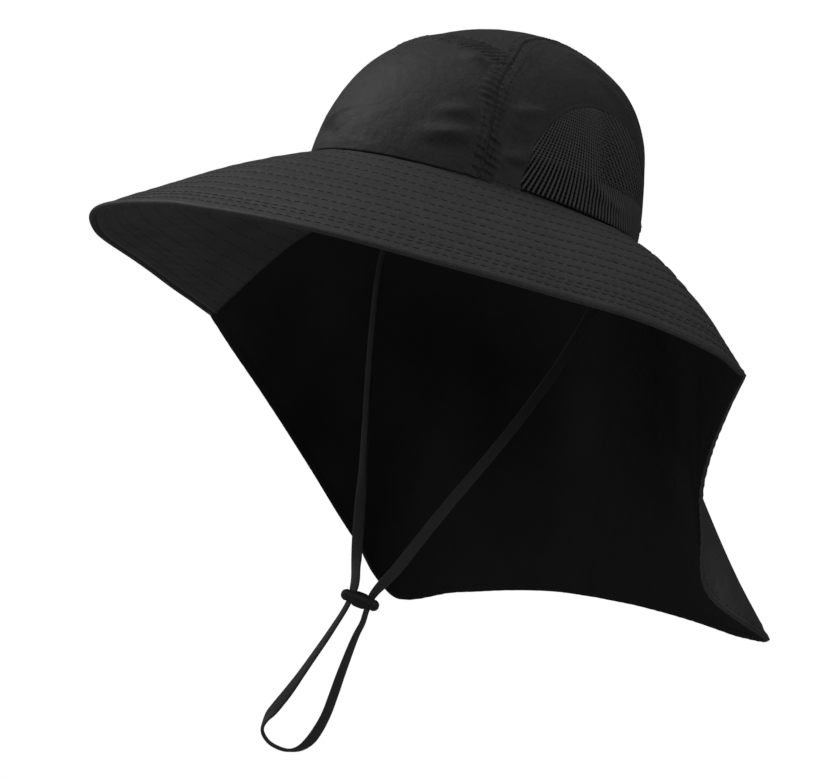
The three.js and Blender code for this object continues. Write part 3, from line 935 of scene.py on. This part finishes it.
def spaced_on_crown(disc, shares):
    """The same line on the disc, with points at these shares of its length on the crown."""
    run = line_run(crown_surface(disc))
    return np.stack([np.interp(shares * run[-1], run, disc[:, k]) for k in range(2)], axis=1)


def over_plan(side, back):
    """The place on the disc of the cloth that lies over a place in the plan."""
    side = side + 0.0 * back
    rise = halve(0 * side, 0 * side + 1, lambda rise: crown_reach(back, rise)[0] > np.abs(side))
    return to_disc(crown_reach(back, rise)[1], rise) * np.stack([np.sign(side), 1 + 0 * side], axis=-1)


def ring_on_disc(first, last):
    angles = np.linspace(first, last, 400)
    return to_disc(angles, np.zeros_like(angles))


def long_seam_front():
    """The long seam from the ring in front to where it meets the cross seam."""
    foot = halve(np.array(-90.0), np.array(-40.0), lambda back: crown_reach(back, 0.0)[0] < long_seam(back))
    backs = np.linspace(float(foot), JUNCTION_BACK, 300)
    return over_plan(long_seam(backs), backs)


# The back of the crown is so steep that the seam there is found by its rise, not its place in the plan.
STEEP_RISE = 0.45


def long_seam_back():
    """The long seam from the cross seam over the top and down to the ring at the back."""
    rises = np.linspace(STEEP_RISE, 0, 200)
    near = level_lean(rises)
    far = near + level_length(rises) * np.cos(rises * np.pi / 2)
    backs = halve(near, far, lambda back: crown_reach(back, rises)[0] > long_seam(back))
    steep = to_disc(crown_reach(backs, rises)[1], rises)
    gentle_backs = np.linspace(JUNCTION_BACK, backs[0], 400)
    gentle = over_plan(long_seam(gentle_backs), gentle_backs)
    return np.concatenate([gentle[:-1], steep])


def cross_seam_line():
    sides = np.linspace(-JUNCTION_SIDE, JUNCTION_SIDE, 300)
    return over_plan(sides, cross_seam(sides))


SEAM_FRONT = long_seam_front()
SEAM_BACK = long_seam_back()
SEAM_ACROSS = cross_seam_line()
OTHER_SIDE = (-1, 1)
SEAM_LINE = crown_surface(np.concatenate([SEAM_FRONT[:-1], SEAM_BACK]))
CROSS_LINE = crown_surface(SEAM_ACROSS)
FRONT_SEAM_ANGLE = float(from_disc(SEAM_FRONT[0])[0])
BACK_SEAM_ANGLE = float(from_disc(SEAM_BACK[-1])[0])


def crowded_shares(count, crowding=0.75):
    """Shares from 0 to 1 that lie closer together towards both ends."""
    t = np.linspace(0, 1, count)
    return t - crowding * np.sin(2 * np.pi * t) / (2 * np.pi)


def crown_patch(bottom, top, left, right, s, t):
    """A patch of the crown between four lines on the disc, at the shares s along them and t across."""
    bottom = spaced_on_crown(bottom, s)
    top = spaced_on_crown(top, s)
    left = spaced_on_crown(left, t)
    right = spaced_on_crown(right, t)
    s = s[:, None, None]
    t = t[None, :, None]
    ruled = (1 - t) * bottom[:, None] + t * top[:, None] + (1 - s) * left[None] + s * right[None]
    corners = (
        (1 - s) * (1 - t) * bottom[0] + s * (1 - t) * bottom[-1]
        + (1 - s) * t * top[0] + s * t * top[-1]
    )
    return crown_surface(ruled - corners)


SEAM_ALLOWANCE = 6.3
PUCKER_PITCH = 4.2
LONG_PUCKER_PITCH = 8.6
PUCKER_HEIGHT = 1.35
PULL_HEIGHT = 0.2
PULL_REACH = 8
SEAM_GROOVE = 0.35
BAND_RAISED = 0.25
TOPSTITCH_IN = 0.9
TOPSTITCH_DENT = 0.12
TOPSTITCH = {"pitch": 3.1, "length": 2.2, "thread": 0.4, "sunk": 0.4}


def seam_relief(distance, along, seed, lean=0.35, pucker=1.0, allowance=SEAM_ALLOWANCE):
    """What a sewn seam does to the cloth: a groove, a doubled band with puckers, and soft pulls beyond."""
    groove = -SEAM_GROOVE * bump(distance, 0, 0.6)
    band = BAND_RAISED * smooth_step(distance, 0.2, 1.6)
    band = band * (1 - smooth_step(distance, allowance - 1, allowance + 2))
    row = -TOPSTITCH_DENT * bump(distance, allowance - TOPSTITCH_IN, 0.6)
    turn = (along + lean * distance + 2.4 * wander(along, 15, seed)) * 2 * np.pi
    ridge = (0.5 + 0.5 * np.sin(turn / PUCKER_PITCH)) ** 1.4 - 0.4
    strength = 0.85 + 0.5 * wander(along + 3 * smooth_step(distance, 1, 5), 6, seed + 3)
    reach = allowance + 1.5 * wander(along, 7, seed + 7)
    on_band = smooth_step(distance, 0.1, 1.3) * (1 - smooth_step(distance, reach - 1.8, reach + 3.2))
    pull = np.sin(turn / LONG_PUCKER_PITCH + 2 * wander(along, 30, seed + 5))
    past = np.maximum(distance - allowance, 0)
    beyond = smooth_step(distance, 2, allowance + 2) * np.exp(-(past / PULL_REACH) ** 1.4)
    raised = PUCKER_HEIGHT * ridge * strength * on_band + PULL_HEIGHT * pull * beyond
    return groove + band + row + pucker * raised


# Soft folds of the crown's cloth: raised where the height is more than 0. Those of the side also lie on the
# other side of the hat.
FOLD_COLUMNS = "start end width height"
SIDE_FOLDS = table(
    FOLD_COLUMNS,
    ((37, -87, 15.5), (56.5, -62.5, 21.5), 5.5, 2.4),
    ((38.7, -80.3, 29.5), (51.5, -64.2, 33.6), 5.0, 1.7),
    ((26, -62, 67), (41, -53, 63), 5.0, 1.6),
    ((59.6, -47.5, 40.5), (67, -27.5, 44.5), 4.5, 1.9),
    ((60.7, -51.9, 29.9), (69.1, -34.7, 28.0), 5.0, -1.6),
    ((63.6, -53.4, 13.7), (71.2, -36, 17.5), 5.0, 1.9),
    ((54, 20, 79), (63.3, 45.2, 61.3), 3.2, 1.5),
    ((36, 4, 88), (50, 32, 81), 6.0, 1.2),
)
FRONT_FOLDS = table(
    FOLD_COLUMNS,
    ((-26, -93.5, 18), (-4, -98.2, 25.5), 2.4, 0.8),
    ((-38, -86, 14), (-12, -102, 8), 5.5, -1.3),
)
VENT_FOLDS = table(
    FOLD_COLUMNS,
    ((80.2, 24, 11), (58.7, 77.8, 9.5), 2.6, 1.5),
    ((80, 2, 17), (79.4, 22, 11.5), 5.0, 0.8),
)


def fold_relief(place, folds):
    """The height of some folds, which rise and die away along their length, and stay clear of the ring."""
    height = np.zeros(place.shape[:-1])
    for fold in folds:
        start = np.array(fold["start"], float)
        along = np.array(fold["end"], float) - start
        share = np.clip((place - start) @ along / (along @ along), 0, 1)
        gap = np.linalg.norm(place - start - share[..., None] * along, axis=-1)
        taper = np.sin(np.pi * (0.08 + 0.84 * share))
        height += 1.6 * fold["height"] * taper * np.exp(-(gap / fold["width"] / 0.85) ** 2)
    return height * smooth_step(place[..., 2], 0.5, 6)


JOIN_TUCK = 1.3
# How much of the relief also shows on the inside
INSIDE_SHARE = 0.55


def tucked(base):
    """The crown's lower edge, drawn down onto the brim."""
    base = base.copy()
    base[..., 2] -= JOIN_TUCK * (1 - smooth_step(base[..., 2], 0, 4))
    return base


def cloth_wrinkles(place, scale, seed):
    """Slow hills and a few soft creases over a panel, from each point's place on the crown."""
    x, y, z = place[..., 0], place[..., 1], place[..., 2]
    slow = ripple(x + 0.4 * z, y - 0.3 * z, 34, 28, seed)
    middle = ripple(y + 0.7 * z, x - 0.5 * z, 15, 22, seed + 5)
    small = ripple(x + z, y - z, 6, 8, seed + 13)
    crease = 1 - np.abs(ripple(x + 0.8 * z, y + 0.4 * z, 22, 40, seed + 9))
    shape = 0.7 * slow + 0.4 * middle + 0.12 * small + 0.25 * crease ** 6
    return scale * shape * smooth_step(z, 0, 8)


def dress_panel(name, base, normals, height, side, finishes, node):
    """A crown panel with its relief. Side 1 is as the wearer's left, and -1 is its mirror image."""
    mirror = np.array([side, 1, 1])
    face = (tucked(base) + normals * height[..., None]) * mirror
    back = (tucked(base) + normals * (INSIDE_SHARE * height - CROWN_CLOTH)[..., None]) * mirror
    facing = normals * mirror
    if side < 0:
        face, back, facing = face[::-1], back[::-1], facing[::-1]
    settle(sheet(name, face, back, finishes), "crown_cloth", node)
    return face, facing


def from_edge(edge, *grids):
    """Grids turned so that their second axis leads away from an edge of the panel."""
    turned = []
    for grid in grids:
        if edge in ("left", "right"):
            grid = grid.swapaxes(0, 1)
        if edge in ("right", "top"):
            grid = grid[:, ::-1]
        turned.append(grid)
    return turned


def seam_gap(place, line):
    """How far each point is from a seam, and where along it."""
    line = even_spacing(line, 260)
    step = float(np.linalg.norm(line[1] - line[0]))
    way = unit(np.gradient(line, axis=0))
    nearest = np.linalg.norm(place[..., None, :] - line, axis=-1).argmin(axis=-1)
    offset = place - line[nearest]
    slip = np.clip((offset * way[nearest]).sum(axis=-1), -step, step)
    gap = np.linalg.norm(offset - slip[..., None] * way[nearest], axis=-1)
    return gap, nearest * step + slip


def line_at(distance, value, *grids):
    """Where a distance that grows along the second axis reaches a value, read off some grids."""
    after = np.clip((distance < value).sum(axis=1), 1, distance.shape[1] - 1)
    i = np.arange(len(distance))
    low = distance[i, after - 1]
    high = distance[i, after]
    share = np.clip((value - low) / np.maximum(high - low, 1e-9), 0, 1)[:, None]
    return [grid[i, after - 1] * (1 - share) + grid[i, after] * share for grid in grids]


def panel_stitches(bundle, face, normals, edge, rows):
    """Rows of stitches beside one edge of a panel."""
    cloth, facing = from_edge(edge, face, normals)
    distance = grid_runs(cloth)[1]
    for row in rows:
        line, side = line_at(distance, row, cloth, facing)
        add_stitches(bundle, line[1:-1], side[1:-1], **TOPSTITCH)


CROSS_BAND = 13.5
NEAR_ROW = 1.2
LONG_ROWS = (NEAR_ROW, SEAM_ALLOWANCE - TOPSTITCH_IN)
CROSS_ROWS = (NEAR_ROW, CROSS_BAND - TOPSTITCH_IN)
ARCH_ROWS = (1.4,)


def make_front_panel(finishes, stitches):
    s = crowded_shares(170)
    t = np.linspace(0, 1, 124)
    ring = ring_on_disc(-FRONT_SEAM_ANGLE, FRONT_SEAM_ANGLE)
    base = crown_patch(ring, SEAM_ACROSS, SEAM_FRONT * OTHER_SIDE, SEAM_FRONT, s, t)
    normals = grid_normals(base)
    height = fold_relief(base, SIDE_FOLDS) + fold_relief(base, FRONT_FOLDS) + cloth_wrinkles(base, 0.55, 41)
    clear = 1
    for place, seed in ((base * (-1, 1, 1), 11), (base, 21)):
        gap, run = seam_gap(place, SEAM_LINE)
        height += seam_relief(gap, run, seed, lean=-0.25)
        clear = clear * smooth_step(gap, 2, 6)
    height += seam_relief(*seam_gap(base, CROSS_LINE), 31, lean=0.8, pucker=clear, allowance=CROSS_BAND)
    face, facing = dress_panel("crown_front_cloth", base, normals, height, 1, finishes, "crown_front")
    for edge, rows in (("left", LONG_ROWS), ("right", LONG_ROWS), ("top", CROSS_ROWS)):
        panel_stitches(stitches, face, facing, edge, rows)


def make_top_panel(finishes, stitches):
    s = crowded_shares(104)
    t = crowded_shares(170, 0.5)
    ring = ring_on_disc(360 - BACK_SEAM_ANGLE, BACK_SEAM_ANGLE)
    base = crown_patch(SEAM_ACROSS, ring, SEAM_BACK * OTHER_SIDE, SEAM_BACK, s, t)
    normals = grid_normals(base)
    height = cloth_wrinkles(base, 0.5, 81)
    for place, line, seed, pucker in (
        (base * (-1, 1, 1), SEAM_LINE, 51, 0.3), (base, SEAM_LINE, 61, 0.3), (base, CROSS_LINE, 71, 0.25),
    ):
        height += seam_relief(*seam_gap(place, line), seed, pucker=pucker)
    face, facing = dress_panel("crown_top_cloth", base, normals, height, 1, finishes, "crown_top")
    for edge in ("left", "right"):
        panel_stitches(stitches, face, facing, edge, LONG_ROWS)


def arch_height(back, grown=0.0):
    across = np.minimum(np.abs(back - VENT_MIDDLE) / (VENT_HALF_WIDTH + grown), 1)
    return (VENT_HEIGHT + grown) * (1 - across ** VENT_ROUNDNESS) ** (1 / VENT_ROUNDNESS)


def side_disc(back, height):
    """The place on the disc of the wearer's left side of the crown at a place along it and a height."""
    rise = np.arcsin(np.clip((height - GAP) / CROWN_HEIGHT, 0, 1)) / (np.pi / 2)
    half_length = level_length(rise) * np.cos(rise * np.pi / 2)
    cosine = np.clip((level_lean(rise) - back) / half_length, -1, 1)
    return to_disc(np.degrees(np.arccos(cosine)), rise)


SIDE_BAND = 9.5


def make_side_panel(word, side, finishes, stitches):
    s = np.linspace(0, 1, 300)
    t = crowded_shares(64, 0.7)
    turn = np.linspace(0, np.pi, 500)
    arch_back = VENT_MIDDLE - np.cos(turn) * VENT_HALF_WIDTH
    arch = side_disc(arch_back, arch_height(arch_back))
    lower = np.concatenate([
        ring_on_disc(FRONT_SEAM_ANGLE, from_disc(arch[0])[0])[:-1],
        arch,
        ring_on_disc(from_disc(arch[-1])[0], BACK_SEAM_ANGLE)[1:],
    ])
    upper = np.concatenate([SEAM_FRONT[:-1], SEAM_BACK])
    bottom = spaced_on_crown(lower, s)[:, None]
    top = spaced_on_crown(upper, s)[:, None]
    base = crown_surface(bottom * (1 - t[None, :, None]) + top * t[None, :, None])
    normals = grid_normals(base)
    run_across = grid_runs(base)[1]
    in_front = smooth_step(base[..., 1], -20, -42)
    band = SEAM_ALLOWANCE + (SIDE_BAND - SEAM_ALLOWANCE) * (1 - in_front)
    gap, run = seam_gap(base, SEAM_LINE)
    height = seam_relief(gap, run, 91 + side, lean=0.25, pucker=0.25 + 0.85 * in_front, allowance=band)
    arched = (base[:, :1, 2] > 1.5) * 1.0
    height -= arched * (0.25 * bump(run_across, 3.6, 0.7) + 0.5 * bump(run_across, 0, 0.8))
    height += fold_relief(base, SIDE_FOLDS) + cloth_wrinkles(base, 0.55, 101 + side)
    node = f"crown_side_{word}"
    face, facing = dress_panel(f"side_cloth_{word}", base, normals, height, side, finishes, node)
    panel_stitches(stitches, face, facing, "top", LONG_ROWS)
    panel_stitches(stitches, face, facing, "bottom", ARCH_ROWS)


RIB_PITCH = 3.05
RIB_WIDTH = 1.6
RIB_HEIGHT = 1.0
RIB_CONVERGENCE = 0.0115
RIB_MEETING_BACK = -1
COURSE_PITCH = 2.1
COURSE_HEIGHT = 0.45
THIN_STRAND = 0.3
LINED_COURSE_PITCH = 1.75
SLANT_PITCH = 4.6
SLANT_START = 4
SLANT_FALL = 1.05
SLANT_HEIGHT = 0.8
LINING_START = 20.3
LINING_DEPTH = 1.7
LINING_CLOTH = 0.5
LINING_HALF_WIDTH = VENT_HALF_WIDTH * math.sqrt(1 - (LINING_START / VENT_HEIGHT) ** 2)
VENT_FRONT = VENT_MIDDLE - VENT_HALF_WIDTH
VENT_BACK = VENT_MIDDLE + VENT_HALF_WIDTH


def side_surface(back, height, inset=0.0):
    angle, rise = from_disc(side_disc(back, height))
    return crown_point(angle, rise, inset)


def side_facing(back, height):
    step = 0.5
    up = side_surface(back, height + step) - side_surface(back, np.maximum(height - step, 0.3))
    along = side_surface(back + step, height) - side_surface(back - step, height)
    return unit(np.cross(along, up))


def add_to_net(net, side, backs, heights, inset, width, height, sides=6):
    """A strand along a line on the vent, with its folds, inset from the crown's outer side."""
    line = side_surface(backs, heights, inset)
    facing = side_facing(backs, heights)
    line = line + facing * fold_relief(line, VENT_FOLDS)[:, None]
    mirror = (side, 1, 1)
    add_strand(net, line * mirror, facing * mirror, width, height, sides)


def add_ribs(net, side):
    """Ribs that lean together towards the top. Behind the slanting strands they are deeper and thinner."""
    for foot in np.arange(VENT_FRONT - 36, VENT_BACK + 60, RIB_PITCH):
        heights = np.arange(0.4, VENT_HEIGHT + 2, 1.3)
        backs = foot - (foot - RIB_MEETING_BACK) * RIB_CONVERGENCE * heights
        inside = heights < arch_height(backs, 1.2)
        if inside.sum() > 2:
            backs, heights = backs[inside], heights[inside]
            lined = smooth_step(heights, LINING_START - 3, LINING_START + 3)
            behind = lined * smooth_step(backs, SLANT_START, SLANT_START + 16)
            width = RIB_WIDTH * (1 - 0.9 * RIB_CONVERGENCE * heights) * (1 - 0.55 * behind)
            add_to_net(net, side, backs, heights, 0.4 + 0.45 * behind, width, RIB_HEIGHT, 8)


def add_courses(net, side):
    """Threads across the ribs, finer and closer together where the mesh is lined."""
    low = np.arange(1.2, LINING_START, COURSE_PITCH)
    for height in [*low, *np.arange(LINING_START + 1, VENT_HEIGHT, LINED_COURSE_PITCH)]:
        lined = height > LINING_START
        backs = np.linspace(VENT_FRONT, VENT_BACK, 110)
        backs = backs[height < arch_height(backs, 1)]
        if len(backs) > 3:
            fading = smooth_step(backs, SLANT_START + 4, SLANT_START + 24)
            width = THIN_STRAND + lined * (0.35 - 0.2 * fading)
            add_to_net(net, side, backs, height + 0 * backs, 0.15 if lined else 1.1, width, COURSE_HEIGHT)


def add_slants(net, side):
    """Strands that fall towards the back over the lined part of the mesh."""
    for start in np.arange(LINING_START, VENT_HEIGHT + SLANT_FALL * VENT_HALF_WIDTH, SLANT_PITCH):
        backs = np.linspace(SLANT_START, VENT_BACK, 90)
        heights = start - SLANT_FALL * (backs - SLANT_START)
        inside = (heights < arch_height(backs, 1)) & (heights > LINING_START)
        if inside.sum() > 3:
            backs, heights = backs[inside], heights[inside]
            width = THIN_STRAND + 0.9 * smooth_step(backs, SLANT_START, SLANT_START + 22)
            add_to_net(net, side, backs, heights, 0.25, width, SLANT_HEIGHT)


def make_lining(word, side, finish):
    """The finer mesh behind the upper part of the vent."""
    backs = VENT_MIDDLE + LINING_HALF_WIDTH * np.sin(np.linspace(-0.5, 0.5, 90) * np.pi)
    a, b = np.meshgrid(backs, np.linspace(0, 1, 40), indexing="ij")
    heights = LINING_START + (arch_height(a, 0.8) - LINING_START) * b
    face = side_surface(a, heights, LINING_DEPTH)
    normals = grid_normals(face)
    face = face + normals * fold_relief(face, VENT_FOLDS)[..., None]
    back = (face - normals * LINING_CLOTH) * (side, 1, 1)
    face = face * (side, 1, 1)
    if side < 0:
        face, back = face[::-1], back[::-1]
    settle(sheet(f"vent_lining_{word}", face, back, [finish, finish]), "vent_mesh")


def make_vent(word, side, finish, lining_finish):
    net = Bundle()
    add_ribs(net, side)
    add_courses(net, side)
    add_slants(net, side)
    backs = np.linspace(VENT_MIDDLE - LINING_HALF_WIDTH, VENT_MIDDLE + LINING_HALF_WIDTH, 90)
    add_to_net(net, side, backs, LINING_START + 0 * backs, 1.3, 1.5, 0.6)
    settle(net.make(f"vent_net_{word}", [finish]), "vent_mesh", f"vent_mesh_{word}")
    make_lining(word, side, lining_finish)


# The brim

# Where the brim's stitch rows run, as shares of its width from the ring. The inmost whole row lies further
# out towards the sides, and the rows crowd a little towards the edge.
ROW_START = table(
    "angle share",
    (0, 0.065), (18, 0.108), (30, 0.122), (42, 0.138), (54, 0.148), (66, 0.17), (97.3, 0.19),
)
row_start = table_curve(ROW_START, "angle", "share")
ROW_GAPS = 9
ROW_CROWDING = 0.26
LAST_ROW = 0.887
EDGE_ROWS = (0.917, 0.964)
LOWEST_ROW = 0.02
GROOVE_WIDTH = 0.9
GROOVE_DEPTH = 0.33
PILLOW_WIDTH = 3.5
USUAL_WIDTH = 120
FACE_THREAD = 0.55
BACK_THREAD = 0.22
BRIM_STITCH = {"pitch": 5.1, "length": 4.3, "sunk": 0.3}


def row_shares(angles):
    """The share of every stitch row at each angle, in rising order."""
    start = row_start(np.abs(angles))
    shares = []
    for k in range(-1, ROW_GAPS + 1):
        u = k / ROW_GAPS
        shares.append(start + (LAST_ROW - start) * (u + ROW_CROWDING * u * (1 - u)))
    shares.extend(row + 0 * start for row in EDGE_ROWS)
    return np.maximum(np.stack(shares, axis=1), LOWEST_ROW)


def brim_columns(rows):
    """Shares for the brim's grid: close together at each stitch row and two between the rows."""
    near = np.array([-1.3, -0.6, 0, 0.6, 1.3]) / USUAL_WIDTH
    at_rows = (rows[..., None] + near).reshape(len(rows), -1)
    ends = np.concatenate([rows[:, :1] * 0, rows, rows[:, :1] * 0 + 1], axis=1)
    first = ends[:, :-1] + (ends[:, 1:] - ends[:, :-1]) * 0.37
    second = ends[:, :-1] + (ends[:, 1:] - ends[:, :-1]) * 0.63
    both_ends = ends[:, [0, -1]]
    return np.sort(np.clip(np.concatenate([at_rows, first, second, both_ends], axis=1), 0, 1), axis=1)


def make_brim(finishes, stitches):
    """The stiff brim with its rings of stitching, puffed up between them."""
    angles = np.linspace(BRIM_END_ANGLE, -BRIM_END_ANGLE, 330)
    rows = row_shares(angles)
    b = brim_columns(rows)
    a = angles[:, None] + 0 * b
    upper = brim_point(a, b)
    normals = brim_facing(a, b)
    run_along, run = grid_runs(upper)
    width = run[:, -1:]
    distance = np.abs(b[..., None] - rows[:, None, :]).min(axis=2) * width
    groove = bump(distance, 0, GROOVE_WIDTH)
    pillow = 1 - bump(distance, 0, PILLOW_WIDTH)
    quiver = 0.16 * ripple(run_along, run, 6, 5, 7) + 0.5 * ripple(run_along, run, 60, 45, 8)
    face = upper + normals * (quiver - GROOVE_DEPTH * groove + 0.1 * (pillow - 1))[..., None]
    back = upper + normals * (quiver - BRIM_CLOTH)[..., None]
    brim = sheet("quilted_brim", face, back, finishes, upper[..., :2])
    settle(brim, "brim_cloth", "brim")
    for k in range(rows.shape[1]):
        shown = rows[:, k] > LOWEST_ROW
        for grid, way, thread in ((face, 1, FACE_THREAD), (back, -1, BACK_THREAD)):
            line, facing = row_line(b, rows[:, k], grid, normals * way)
            for piece in whole_runs(shown):
                add_stitches(stitches, line[piece], facing[piece], thread=thread, **BRIM_STITCH)


def row_line(shares, value, *grids):
    """Where shares that rise along the second axis reach a value of each line, read off some grids."""
    return line_at(shares - value[:, None] + 1, 1.0, *grids)


def whole_runs(shown):
    """Slices of a line where it is shown."""
    edges = np.flatnonzero(np.diff(np.concatenate([[0], shown.astype(int), [0]])))
    return [slice(low, high) for low, high in zip(edges[::2], edges[1::2]) if high - low > 3]


ROLL_WIDTH = 4.6
ROLL_THICKNESS = 3.3


def make_edge(finish):
    """The cloth rolled over the brim's edge."""
    last = BRIM_END_ANGLE - 0.15
    angles = np.linspace(-last, last, 340)
    edge = brim_edge_point(angles)
    inward = unit(ring_point(angles, TURNED_IN) - edge)
    normals = brim_facing(angles, 0.97 + 0 * angles)
    line = edge + inward * 2.4 - normals * (BRIM_CLOTH / 2 - 0.25)
    along = unit(np.gradient(line, axis=0))
    up = unit(normals - along * (normals * along).sum(axis=1, keepdims=True))
    across = np.cross(along, up)
    section = oval(ROLL_WIDTH, ROLL_THICKNESS, 22, 2.3)
    around = np.arange(len(section)) * 0.6
    roll = cloth_tube("rolled_edge", line, line_run(line), across, up, section, around, finish)
    settle(roll, "brim_cloth", "brim_edge")


# The neck flap

HEM_BAND = 4.6
HEM_RAISED = 0.35
HEM_PUCKER = 0.3
HEM_PUCKER_PITCH = 7
HEM_STITCH = {"pitch": 3.2, "length": 2.4, "thread": 0.4, "sunk": 0.4}
FOLDS_PER_TURN = 9
FOLD_HEIGHT = 1.6


def make_flap(finishes, stitches):
    """The neck flap as one hanging sheet, with soft folds and a sewn hem."""
    first = BRIM_END_ANGLE + 0.03
    half = np.concatenate([
        np.linspace(first, 133, 62)[:-1],
        np.linspace(133, 150, 30)[:-1],
        np.linspace(150, 180, 36),
    ])
    angles = np.concatenate([half, 360 - half[-2::-1]])[::-1]
    shares = np.linspace(0, 1, 110)
    a, b = np.meshgrid(angles, shares, indexing="ij")
    outer = np.stack([flap_point(angles, share) for share in shares], axis=1)
    normals = grid_normals(outer)
    run_along, run_down = grid_runs(outer)
    hem_run = run_down[:, -1:] - run_down
    folds = np.sin(np.radians((a - 180) * FOLDS_PER_TURN) + 0.8 * wander(run_down, 60, 5))
    drape = FOLD_HEIGHT * smooth_step(b, 0.25, 1) * folds * bump(a, 180, 34)
    soft = 0.8 * ripple(run_along, run_down, 55, 70, 17) * smooth_step(b, 0.05, 0.3)
    hem = HEM_RAISED * (1 - smooth_step(hem_run, HEM_BAND, HEM_BAND + 1.2))
    hem = hem - 0.15 * bump(hem_run, HEM_BAND - 1, 0.7)
    turn = run_along * 2 * np.pi / HEM_PUCKER_PITCH + 2 * wander(run_along, 25, 3)
    pucker = HEM_PUCKER * np.sin(turn) * bump(hem_run, HEM_BAND, 7)
    shift = (drape + soft) * smooth_step(run_down, 0, 25)
    face = outer + normals * (shift + hem + pucker)[..., None]
    back = outer + normals * (shift + pucker - FLAP_CLOTH - hem * 0.8)[..., None]
    flap = sheet("neck_flap_cloth", face, back, finishes, np.stack([run_along, run_down], axis=-1))
    settle(flap, "flap_cloth", "neck_flap")
    for grid, way in ((face, 1), (back, -1)):
        line, facing = line_at(hem_run[:, ::-1], HEM_BAND - 1, grid[:, ::-1], normals[:, ::-1] * way)
        add_stitches(stitches, line, facing, **HEM_STITCH)
    return flap


make_camera()
cord, route, cord_length = make_cord(cord_finish())
slider = make_slider(slider_finish())
make_studio()

crown_out = woven_cloth("crown_nylon", 0.019, 0.05, roughness=0.62, grain=0.7, depth=0.12, crinkled=0.9)
# The crown's inside is the same nylon with a darker colour: painted shade.
crown_in_shade = woven_cloth("crown_inside_painted_shade", 0.008, 0.014, gloss=0.2)
brim_out = woven_cloth("brim_nylon", 0.026, 0.07, roughness=0.55, grain=0.75, depth=0.15, crinkled=0.4)
# The brim's underside is the same nylon with a much lighter colour than its top: painted light.
brim_under_lit = woven_cloth("brim_underside_painted_light", 0.075, 0.105, gloss=0.25)
# The flap's outside is the same nylon as the crown with a lighter colour: painted light.
flap_out_lit = woven_cloth("flap_nylon_painted_light", 0.038, 0.068, roughness=0.5, crinkled=0.7)
# The flap's inside is the same nylon with a much darker colour: painted shade.
flap_in_shade = woven_cloth("flap_inside_painted_shade", 0.012, 0.018, gloss=0.12, sheen=0.01)
thread = yarn_finish("sewing_thread", 0.017, 0.028, 0.5, 1, (0.6, 0.2), 0.05, gloss=0.3)
strand = yarn_finish("vent_strand", 0.05, 0.095, 0.7, 2, (0.45, 0.15), 0.08, gloss=0.4, sheen=0.05)
lining = yarn_finish("vent_lining", 0.01, 0.017, 0.7, 2, (0.45, 0.15), 0.08, gloss=0.4, sheen=0.05)

crown_stitches = Bundle()
make_front_panel([crown_out, crown_in_shade], crown_stitches)
make_top_panel([crown_out, crown_in_shade], crown_stitches)
for word, side in (("left", 1), ("right", -1)):
    make_side_panel(word, side, [crown_out, crown_in_shade], crown_stitches)
    make_vent(word, side, strand, lining)
settle(crown_stitches.make("crown_stitching", [thread]), "crown_cloth")

brim_stitches = Bundle()
make_brim([brim_out, brim_under_lit], brim_stitches)
make_edge(brim_out)
settle(brim_stitches.make("brim_stitching", [thread]), "brim_cloth")

flap_stitches = Bundle()
flap = make_flap([flap_out_lit, flap_in_shade], flap_stitches)
flap_thread = flap_stitches.make("hem_stitching", [thread])
settle(flap_thread, "flap_cloth")
